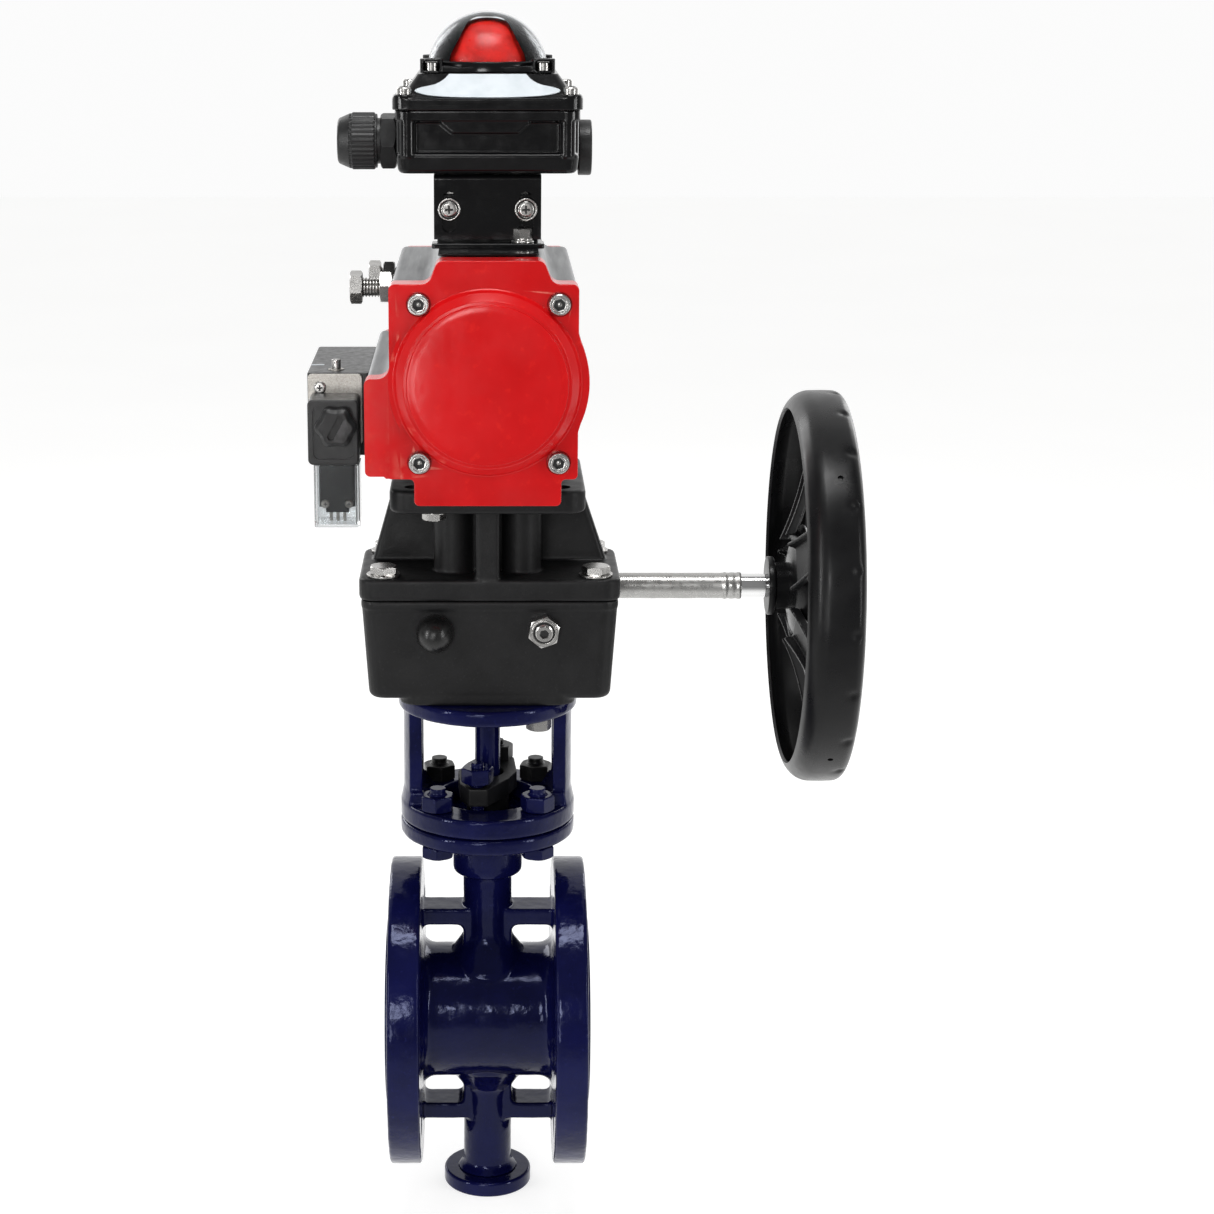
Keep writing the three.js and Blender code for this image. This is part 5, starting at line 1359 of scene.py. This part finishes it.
def connector():
    """A clear shell open at the top, and inside it a black terminal block with two screws and
    three blades."""
    low, high = span("coil_connector")
    wall, blade_pitch = 1.4, 3.4
    shell = box(low, high, 1.4)
    room = box((low.x + wall, low.y + wall, low.z + wall),
               (high.x - wall, high.y - wall, high.z + 1), 0.8)
    stand_in("coil_connector", soften(cut(shell, room), 0.35, 2), FINISH["clear"])
    block = box((low.x + 2.4, low.y + 3, low.z + 10), (high.x - 2.4, high.y - 2.4, high.z - 0.5), 0.8)
    tongue = box((low.x + 5.5, low.y + 3, low.z + 7.2), (high.x - 5.5, high.y - 2.4, low.z + 11), 0.8)
    block = soften(join(block, tongue), 0.3)
    piece("connector_terminal_block", block, FINISH["coil"])
    metal = [moved(facing(pan_screw(2.1, 1.5), "-y"), x, low.y + 3.1, low.z + 11.5)
             for x in (low.x + 5.4, high.x - 5.4)]
    for i in (-1, 0, 1):
        x = (low.x + high.x) / 2 + i * blade_pitch
        metal.append(box((x - 0.8, low.y + 7, low.z + 2), (x + 0.8, low.y + 9, low.z + 8.5), 0.3))
    contacts = piece("connector_contacts", heap(*metal), [FINISH["nickel"], FINISH["recess"]])


# ------------------------------------------------------------------ limit-switch box
def brackets():
    """Two folded channels, one inside the other. The upper one has a slot at each screw."""
    sheet, bend = 3.0, 2.6
    slot_x, slot_low, slot_high, slot_half = 18.7, 524.6, 544.4, 3.4
    for node, near, far, up in (("lower_bracket", 1, 0, -1), ("upper_bracket", 0, 1, 1)):
        low, high = span(node)
        tip, base = (low.z, high.z)[near], (low.z, high.z)[far]
        inner = base - up * sheet
        section = [(low.y, tip), (low.y, base, bend), (high.y, base, bend), (high.y, tip),
                   (high.y - sheet, tip), (high.y - sheet, inner, 1), (low.y + sheet, inner, 1),
                   (low.y + sheet, tip)]
        tools = [rod(13, low.z - 1, high.z + 1)]
        if node == "upper_bracket":
            tools += [prism(rectangle(x - slot_half, x + slot_half, slot_low, slot_high, 3.3),
                            -60, 60, "y") for x in (-slot_x, slot_x)]
        formed = cut(prism(fillet(section, 5), low.x, high.x, "x"), *tools)
        stand_in(node, soften(formed, 0.6, 3), FINISH["dipped"])
    bracket_screws()
    bracket_foot()


def bracket_screws():
    """Cross-head screws in the bracket's sides, each in a ring with a dark gap painted as shade round the head."""
    front = -span("upper_bracket")[0].y
    screw_x, screw_z = 18.6, 536
    ring = tube(5.5, 4.5, 0, 1.5, edge=0.4)
    # A dark ring between the washer ring and the head: painted shade.
    gap = shaded(tube(4.7, 3.6, 0, 0.7, edge=0.1))
    screw = heap(moved(pan_screw(4.0, 1.5), 0, 0, 0.9), ring, gap, rod(2.4, -8, 1.4))
    for sign, toward, name in ((-1, "-y", "front"), (1, "+y", "rear")):
        for i, x in enumerate((-screw_x, screw_x)):
            made = moved(facing(screw.copy(), toward), x, sign * (front + 0.05), screw_z)
            piece(f"bracket_{name}_screw_{i + 1}", made, SCREW)


def bracket_foot():
    """The front lip of the lower bracket's base, the packing plate under it, and its bolts."""
    seat, plate_top = CYLINDER["high"] + 0.1, span("lower_bracket")[0].z + 3.0
    web = span("lower_bracket")[0].y
    lip = soften(box((-27, web - 13, plate_top - 2.4), (27.5, web + 1, plate_top), 1.5), 0.5, 3)
    packing = box((-23.5, -73, seat), (24.5, web + 1, plate_top - 2.0), 1.5)
    piece("bracket_foot_lip", heap(lip, soften(packing, 0.3)), FINISH["dipped"])
    bolt = heap(washer(5.4, 2.5, 0, 1.0), washer(4.7, 2.5, 1.0, 2.2), hexagon(4.6, 2.2, 6.6, turn=12))
    for i, (x, y) in enumerate(((17, web - 7), (-15, -24), (15, 24), (-15, 30))):
        made = moved(bolt.copy(), x, y, plate_top + 0.05)
        piece(f"bracket_foot_screw_{i + 1}", made, FINISH["steel"])


BOX = {"waist": 563.0, "recess": 4.6, "pillar_r": 3.9, "floor": 3.5, "port_r": 11.5,
       "port_bore": 7.8}
LID = {"rim": 590.0, "screw_in": 6.0, "foot_in": 2.4, "roof_x": 34.0, "roof_y": 33.5,
       "shaft_hole_r": 5.6}
LEDGE = [(-17, 572.6, 1), (15, 572.6, 1), (21, 577.9, 0.6), (-23.5, 577.9, 0.6)]


def switch_housing():
    """A cast tub: a plain lower block, recessed front and back panels between round corner pillars,
    a rim under the lid, and a finger ledge on each panel."""
    low, high = span("switch_housing")
    half_x, half_y = high.x, high.y
    waist, recess, pillar = BOX["waist"], BOX["recess"], BOX["pillar_r"]
    lower = soften(loft(rectangle(-half_x + 1.5, half_x - 1.5, -half_y + 2, half_y - 2, 5),
                        rectangle(-half_x + 0.3, half_x - 0.3, -half_y + 0.6, half_y - 0.6, 6),
                        low.z, waist), 2.2, 3)
    core = prism(rectangle(-half_x + 0.6, half_x - 0.6, -half_y + recess, half_y - recess, 4),
                 waist - 1, high.z)
    pillars = [rod(pillar, waist - 2, high.z, at=(x * (half_x - 6.2), y * (half_y - pillar - 0.2), 0))
               for x, y in CORNERS]
    rim = prism(rectangle(-half_x, half_x, -half_y + 0.4, half_y - 0.4, 6), high.z - 4.6, high.z)
    band = prism(rectangle(-half_x + 11, half_x - 11, -half_y + 2, half_y - 2, 2),
                 high.z - 5.8, high.z - 4)
    ledges = [prism(fillet(LEDGE, 4), *sorted((y * (half_y - 5), y * (half_y - 1))), "y")
              for y in (-1, 1)]
    ports, bores = [], []
    for node, side in (("cable_gland", -1), ("blanking_plug", 1)):
        at = (0, 0, middle(node).z)
        ports.append(rod(BOX["port_r"], *sorted((side * half_x, side * (half_x - 6))), "x", at, 0.6))
        ends = sorted((side * (half_x + 2), side * (half_x - 12)))
        bores.append(rod(BOX["port_bore"], *ends, "x", at))
    skin = cast(heap(lower, core, rim, band, *pillars, *ledges, *ports), 0.45, 2)
    room = prism(rectangle(-half_x + 9, half_x - 9, -half_y + 8, half_y - 8, 3),
                 low.z + BOX["floor"], high.z + 1)
    shaft_hole = rod(LID["shaft_hole_r"], low.z - 1, low.z + 10)
    opened = cut(skin, room, shaft_hole, *bores)
    stand_in("switch_housing", opened, FINISH["enamel"], weighted=False)


def switch_cover():
    """The lid: a skirt with a groove at front and back, four screw bosses and a sloping roof."""
    low, high = span("switch_cover")
    half_x, half_y = high.x, high.y
    rim, foot_in, screw_in = LID["rim"], LID["foot_in"], LID["screw_in"]
    roof_x, roof_y = LID["roof_x"], LID["roof_y"]
    skirt = prism(rectangle(-half_x, half_x, -half_y, half_y, 7), low.z, rim - 0.8)
    roof = loft(rectangle(-half_x + foot_in + 1, half_x - foot_in - 1, -half_y + foot_in,
                          half_y - foot_in, 5),
                rectangle(-roof_x, roof_x, -roof_y, roof_y, 3), rim - 1.2, high.z)
    boss = profile((0, low.z), (5.6, low.z), (5.6, rim + 0.8, 1), (0, rim + 0.8))
    screws_at = [(x * (half_x - screw_in), y * (half_y - screw_in)) for x, y in CORNERS]
    skin = cast(heap(skirt, roof, *[lathe(boss, at=(*at, 0)) for at in screws_at]), 0.45, 3)
    groove = rectangle(-31, 31, low.z + 2.2, low.z + 3.4)
    inside = loft(rectangle(-half_x + 8, half_x - 8, -half_y + 8, half_y - 8, 3),
                  rectangle(-29, 29, -29, 29, 3), low.z - 1, high.z - 3)
    holes = [inside, prism(groove, -half_y - 1, -half_y + 0.7, "y"),
             prism(groove, half_y - 0.7, half_y + 1, "y"),
             rod(LID["shaft_hole_r"], low.z, high.z + 1)]
    stand_in("switch_cover", cut(skin, *holes), FINISH["enamel"], weighted=False)
    for i, at in enumerate(screws_at):
        screw = moved(socket_screw(3.7, 3.4), *at, rim + 0.7)
        piece(f"lid_screw_{i + 1}", screw, SCREW)
    label()


def label():
    """A blank silver plate on the lid's front slope: a wide bowed foot, hollow shoulders and a
    narrow top."""
    high = span("switch_cover")[1]
    foot = Vector((0, -high.y + LID["foot_in"], LID["rim"] - 1.2))
    head = Vector((0, -LID["roof_y"], high.z))
    up, length = (head - foot).normalized(), (head - foot).length
    side = smooth_line([(0, 0.03), (16, 0.05), (28, 0.12), (34, 0.24), (34.6, 0.34), (31.5, 0.44),
                        (25.5, 0.55), (21.5, 0.72), (19.5, 0.88), (18.6, 0.97)], 4)
    outline = [(x, t * length) for x, t in side] + [(-x, t * length) for x, t in side[:0:-1]]
    plate = soften(prism(outline, 0.05, 0.55), 0.12, 1)
    across = Vector((1, 0, 0))
    basis = Matrix((across, up, across.cross(up))).transposed().to_4x4()
    plate.transform(Matrix.Translation(foot) @ basis)
    piece("lid_label_plate", plate, FINISH["label"])


DOME = {"centre_z": 599.0, "wall": 0.5, "flange": 1.2, "flange_top": 602.9, "mask_in": 1.15}
RETAINER = {"half": 31.5, "ring_top": 603.5, "bore": 29.6, "corner": 27.0, "top": 607.0,
            "notch_half": 3.9, "notch_low": 601.2}


def dome():
    """The clear dome, its retainer, and the mask and the rotor that show through it."""
    low, high = span("indicator_dome")
    centre_z, wall, flange_low = DOME["centre_z"], DOME["wall"], low.z + 0.6
    r = high.z - centre_z
    outer = arc((0, centre_z), r, 9, 90, 24)[:-1] + [(0, high.z)]
    inner = arc((0, centre_z), r - wall, 4, 90, 24)[:-1] + [(0, high.z - wall)]
    flange_r = r + DOME["flange"]
    flange = [(r - wall, flange_low), (flange_r, flange_low), (flange_r, DOME["flange_top"])]
    stand_in("indicator_dome", lathe(inner[::-1] + flange + outer, sides=128), FINISH["dome"])
    retainer()
    low, high = span("indicator_rotor")
    mask(r - DOME["mask_in"], centre_z, low.z)
    rotor(high.x, high.z - high.x, low.z)


def retainer():
    """The black square ring that clamps the dome. Each corner block has a notch for its screw,
    open to the front or the back."""
    foot = span("indicator_dome")[0].z
    half, bore, top = RETAINER["half"], RETAINER["bore"], RETAINER["top"]
    notch, notch_low = RETAINER["notch_half"], RETAINER["notch_low"]
    ring = prism(rectangle(-half, half, -half, half, 6), foot, RETAINER["ring_top"])
    line = fillet([(29.3, 601.5, 0.3), (32.8, 600.6, 0.3), (31.6, 605.2, 0.6), (30.4, 605.6, 0.4)], 3)
    flare = lathe(line + line[:1], sides=128)
    blocks, notches, screws = [], [], []
    for side_x, side_y in CORNERS:
        x, y = side_x * RETAINER["corner"], side_y * RETAINER["corner"]
        blocks.append(prism(rectangle(x - 5.6, x + 5.6, y - 5.4, y + 5.4, 2), foot, top))
        out = sorted((y, y + side_y * 8))
        notches.append(prism(rectangle(x - notch, x + notch, *out), notch_low, top - 1.2))
        notches.append(rod(notch, notch_low, top + 1, at=(x, y, 0)))
        screws.append(moved(socket_screw(3.4, 4.2), x, y + side_y * 1.2, notch_low + 0.1))
    skin = cast(cut(heap(ring, *blocks), *notches), 0.4, 2)
    skin = cut(heap(skin, flare), rod(bore, 590, 620, sides=128))
    piece("dome_retainer", skin, FINISH["enamel"], weighted=False)
    for i, screw in enumerate(screws):
        piece(f"dome_screw_{i + 1}", screw, SCREW)


def mask(r, centre_z, foot):
    """A fixed black shell over the rotor, with a bell-shaped window at the front and back."""
    thickness = 0.5
    outer_r, top = r + thickness, centre_z + r - 1.6
    outer = arc((0, centre_z), outer_r, 3, 90, 20)[:-1] + [(0, centre_z + outer_r)]
    inner = arc((0, centre_z), r, 3, 90, 20)[:-1] + [(0, centre_z + r)]
    shell = lathe(inner[::-1] + outer, sides=128)
    window = fillet([(-19, foot - 4, 0.1), (19, foot - 4, 0.1), (18.2, foot + 7, 8), (8.5, top, 8),
                     (-8.5, top, 8), (-18.2, foot + 7, 8)], 6)
    shell = cut(shell, prism(window, -40, 40, "y"))
    piece("indicator_mask", shell, FINISH["mask"])


def rotor(r, centre_z, foot):
    """Red in front and behind, yellow at the sides, so that a quarter turn changes the window."""
    line = [(0, foot)] + arc((0, centre_z), r, 5, 90, 18)[:-1] + [(0, centre_z + r)]
    finishes = [FINISH["signal_red"], FINISH["signal_yellow"]]
    made = stand_in("indicator_rotor", lathe(line, sides=96), finishes)
    paint_faces(made, 1, lambda at, normal: abs(at.x) > max(12, 1.5 * abs(at.y)))


CABLE_GLAND = {"r": 14.0, "hex_r": 14.3, "hex_from": -54.4, "hex_to": -45.3, "bore": 6.0, "ribs": 36,
               "rib_depth": 0.45}
PLUG = {"from": 37.0, "thread_r": 7.6, "thread_to": 42.4, "head_from": 45.0, "neck_r": 11.0}


def cable_gland():
    """A ribbed cap nut, a collar, a hexagon and the thread that enters the box."""
    low = span("cable_gland")[0]
    at = (0, 0, middle("cable_gland").z)
    r, bore, ribs = CABLE_GLAND["r"], CABLE_GLAND["bore"], CABLE_GLAND["ribs"]
    hex_from, hex_to = CABLE_GLAND["hex_from"], CABLE_GLAND["hex_to"]

    def ribbed(radius, height, angle):
        if radius < r - 1.6 or height > hex_from - 1.5 or height < low.x + 6:
            return radius
        return radius - CABLE_GLAND["rib_depth"] * (0.5 + 0.5 * math.cos(ribs * angle))

    outline = profile((bore, low.x + 3), (6.8, low.x, 0.6), (r - 3.2, low.x, 2.2),
                      (r - 0.6, low.x + 6, 2), (r - 0.5, low.x + 7), (r, low.x + 7.5),
                      (r, hex_from - 1.8), (r - 0.8, hex_from - 1.2), (r - 0.8, hex_from - 0.4),
                      (bore, hex_from - 0.4), steps=5)
    nut = lathe(outline + [(bore, low.x + 3)], "x", at, ribs * 6, ribbed)
    collar = tube(11.2, bore, hex_from - 0.6, hex_from + 2, "x", at)
    flats = cut(hexagon(CABLE_GLAND["hex_r"], hex_from + 1.4, hex_to, "x", at, 8),
                rod(bore, -70, -40, "x", at))
    thread = tube(7.6, 5.6, hex_to, -38, "x", at)
    stand_in("cable_gland", heap(nut, collar, flats, thread), FINISH["plastic"])


def blanking_plug():
    """A threaded plug with a slotted round head."""
    low, high = span("blanking_plug")
    at = (0, 0, middle("blanking_plug").z)
    r, face = (high.z - low.z) / 2, high.x
    start, thread_r, thread_to = PLUG["from"], PLUG["thread_r"], PLUG["thread_to"]
    neck_r, head_from = PLUG["neck_r"], PLUG["head_from"]
    outline = profile((0, start), (thread_r, start), (thread_r, thread_to), (neck_r, thread_to),
                      (neck_r, head_from, 0.5), (r, head_from, 0.6), (r, face, 1.0),
                      (r - 2.6, face, 0.6), (r - 3.2, face - 1, 0.4), (0, face - 1), steps=4)
    slot = box((face - 2.2, -1.2, at[2] - 8), (face + 1, 1.2, at[2] + 8))
    plug = soften(cut(lathe(outline, "x", at), slot), 0.25, 1)
    stand_in("blanking_plug", plug, FINISH["plastic"])


FINISH = {
    "blue": blue_paint(),
    "raised_face": raised_face(),
    "satin": satin_black(),
    "gland": satin_black("worn_black_gland", 0.38, 0.1),
    "wheel": wheel_black(),
    "enamel": black_enamel(),
    "dipped": dipped_black(),
    "red": red_paint(),
    "anodised": anodised(),
    "steel": bright_steel(),
    "polished": turned_metal("valve_trim_steel", (0.55, 0.55, 0.54)),
    "bronze": turned_metal("bush_bronze", (0.5, 0.33, 0.14)),
    "chrome": chrome(),
    "nickel": nickel_plate(),
    "plastic": moulded("black_nylon", (0.012, 0.012, 0.0125), 0.42),
    "coil": moulded("coil_resin", (0.016, 0.016, 0.0165), 0.36, 0.03),
    "rubber": moulded("black_rubber_cap", (0.008, 0.008, 0.008), 0.3, 0.02),
    "graphite": moulded("braided_graphite", (0.03, 0.03, 0.03), 0.6, 0.2),
    "clear": clear("clear_connector", (0.72, 0.74, 0.75), 0.08),
    "dome": clear("clear_dome", (0.93, 0.94, 0.95), 0.02, 1.04),
    "film": film(),
    "label": label_silver(),
    "signal_red": moulded("signal_red_rotor", (0.78, 0.02, 0.014), 0.35, 0.01),
    "signal_yellow": moulded("signal_yellow_rotor", (0.8, 0.5, 0.02), 0.35, 0.01),
    # A near-black finish for recess floors and gaps: painted shade.
    "recess": moulded("shaded_recess", (0.008, 0.008, 0.008), 0.5, 0.02),
    "mask": moulded("black_dome_mask", (0.004, 0.004, 0.004), 0.2, 0.01),
}
SCREW = [FINISH["steel"], FINISH["recess"]]


KEPT_NODES = {
    "polished": ["seat_ring", "disc_seal_ring", "disc_pin", "worm_wheel", "pinion", "switch_shaft",
                 "declutch_sleeve", "front_spring", "rear_spring"],
    "anodised": ["front_piston", "rear_piston"],
    "bronze": ["lower_bush", "upper_bush"],
    "graphite": ["packing"],
    "plastic": ["microswitch_closed", "microswitch_open"],
}


def finish_kept_nodes():
    """Inner pieces keep their CAD mesh and only take a finish."""
    for finish, nodes in KEPT_NODES.items():
        for node in nodes:
            materials = frame["nodes"][node].data.materials
            materials.clear()
            materials.append(FINISH[finish])


# ------------------------------------------------------------------ stage
def floor():
    """A sheet of pale paper that is lit from within. It dims in front of the object, so that
    glossy fronts don't mirror it."""
    size = 6.0
    lit, dim, back_edge, front_edge = 0.72, 0.15, -0.12, -0.8
    mesh = bpy.data.meshes.new("floor")
    mesh.from_pydata([(-size, -size, 0), (size, -size, 0), (size, size, 0), (-size, size, 0)],
                     [], [(0, 1, 2, 3)])
    made = bpy.data.objects.new("studio_floor", mesh)
    bpy.context.scene.collection.objects.link(made)
    paper = Finish("pale_paper", (0.42, 0.42, 0.418), 0.9)
    paper.mottle((0.4, 0.4, 0.398), 3.0)
    paper.glow((1, 1, 0.995), lit)
    place = paper.nodes.new("ShaderNodeSeparateXYZ")
    paper.links.new(paper.place, place.inputs[0])
    paper.tint(paper.remap(place.outputs["Y"], back_edge, front_edge), (0.16, 0.16, 0.16))
    light = paper.remap(place.outputs["Y"], front_edge, back_edge, dim, lit)
    paper.links.new(light, paper.shader.inputs["Emission Strength"])
    mesh.materials.append(paper.material)


def softbox(name, place, target, size, power):
    lamp = bpy.data.lights.new(name, "AREA")
    lamp.shape = "RECTANGLE"
    lamp.size, lamp.size_y = size
    lamp.energy = power
    made = bpy.data.objects.new(name, lamp)
    made.location = place
    made.rotation_euler = (Vector(target) - Vector(place)).to_track_quat("-Z", "Y").to_euler()
    bpy.context.scene.collection.objects.link(made)


def lights():
    centre = (0, 0, 0.33)
    softbox("key_left", (-1.5, -1.1, 0.75), centre, (0.16, 1.3), 12)
    softbox("key_right", (1.5, -1.0, 0.7), centre, (0.14, 1.3), 9)
    softbox("low_front", (-0.4, -1.5, 0.27), (0, 0, 0.4), (0.4, 0.28), 2.4)
    softbox("overhead", (0, -0.35, 1.9), centre, (0.7, 0.4), 13)
    softbox("front_fill", (-0.35, -2.2, 1.0), centre, (0.5, 0.4), 9)
    softbox("back_left", (-0.9, 1.3, 1.0), centre, (0.6, 1.1), 7)
    softbox("back_right", (1.0, 1.3, 0.9), centre, (0.6, 1.1), 6)


def surroundings():
    """A white backdrop behind the object that falls off to a dimmer room in front of it."""
    world = bpy.data.worlds.new("studio")
    world.use_nodes = True
    nodes, links = world.node_tree.nodes, world.node_tree.links
    direction = nodes.new("ShaderNodeTexCoord").outputs["Generated"]
    split = nodes.new("ShaderNodeSeparateXYZ")
    links.new(direction, split.inputs[0])
    ramp = nodes.new("ShaderNodeMapRange")
    ramp.interpolation_type = "SMOOTHSTEP"
    for socket, value in (("From Min", 0.0), ("From Max", 0.6), ("To Min", 0.24), ("To Max", 0.97)):
        ramp.inputs[socket].default_value = value
    links.new(split.outputs["Y"], ramp.inputs["Value"])
    background = nodes["Background"]
    background.inputs["Color"].default_value = (1, 1, 1, 1)
    links.new(ramp.outputs["Result"], background.inputs["Strength"])
    bpy.context.scene.world = world


def camera():
    """Looks down at the stem axis from the front, as far off as a product shot."""
    target = Vector((0, 0, 0.3305))
    distance, pitch = 1.2843, math.radians(14.4)
    data = bpy.data.cameras.new("camera")
    data.sensor_width = 36
    data.lens = 73.09
    data.shift_x = 0.0984
    data.shift_y = -0.0062
    made = bpy.data.objects.new("camera", data)
    made.location = target + distance * Vector((0, -math.cos(pitch), math.sin(pitch)))
    made.rotation_euler = (math.pi / 2 - pitch, 0, 0)
    bpy.context.scene.collection.objects.link(made)
    bpy.context.scene.camera = made


def colour_management():
    settings = bpy.context.scene.view_settings
    settings.view_transform = "Standard"
    settings.look = "None"
    settings.exposure = 0.0


MAKERS = [
    valve_body, bottom_cover, disc_and_clamp, stem, gland, yoke, yoke_bolts, gearbox_housing,
    gearbox_cover, cover_bolts, stop_screws, plate_screw, declutch_lever, shaft, handwheel,
    handwheel_nut, end_caps, cylinder, stroke_bolts, solenoid, coil, coil_nut, connector,
    brackets, switch_housing, switch_cover, dome, cable_gland, blanking_plug, finish_kept_nodes,
    floor, lights, surroundings, camera, colour_management,
]
for make in MAKERS:
    make()
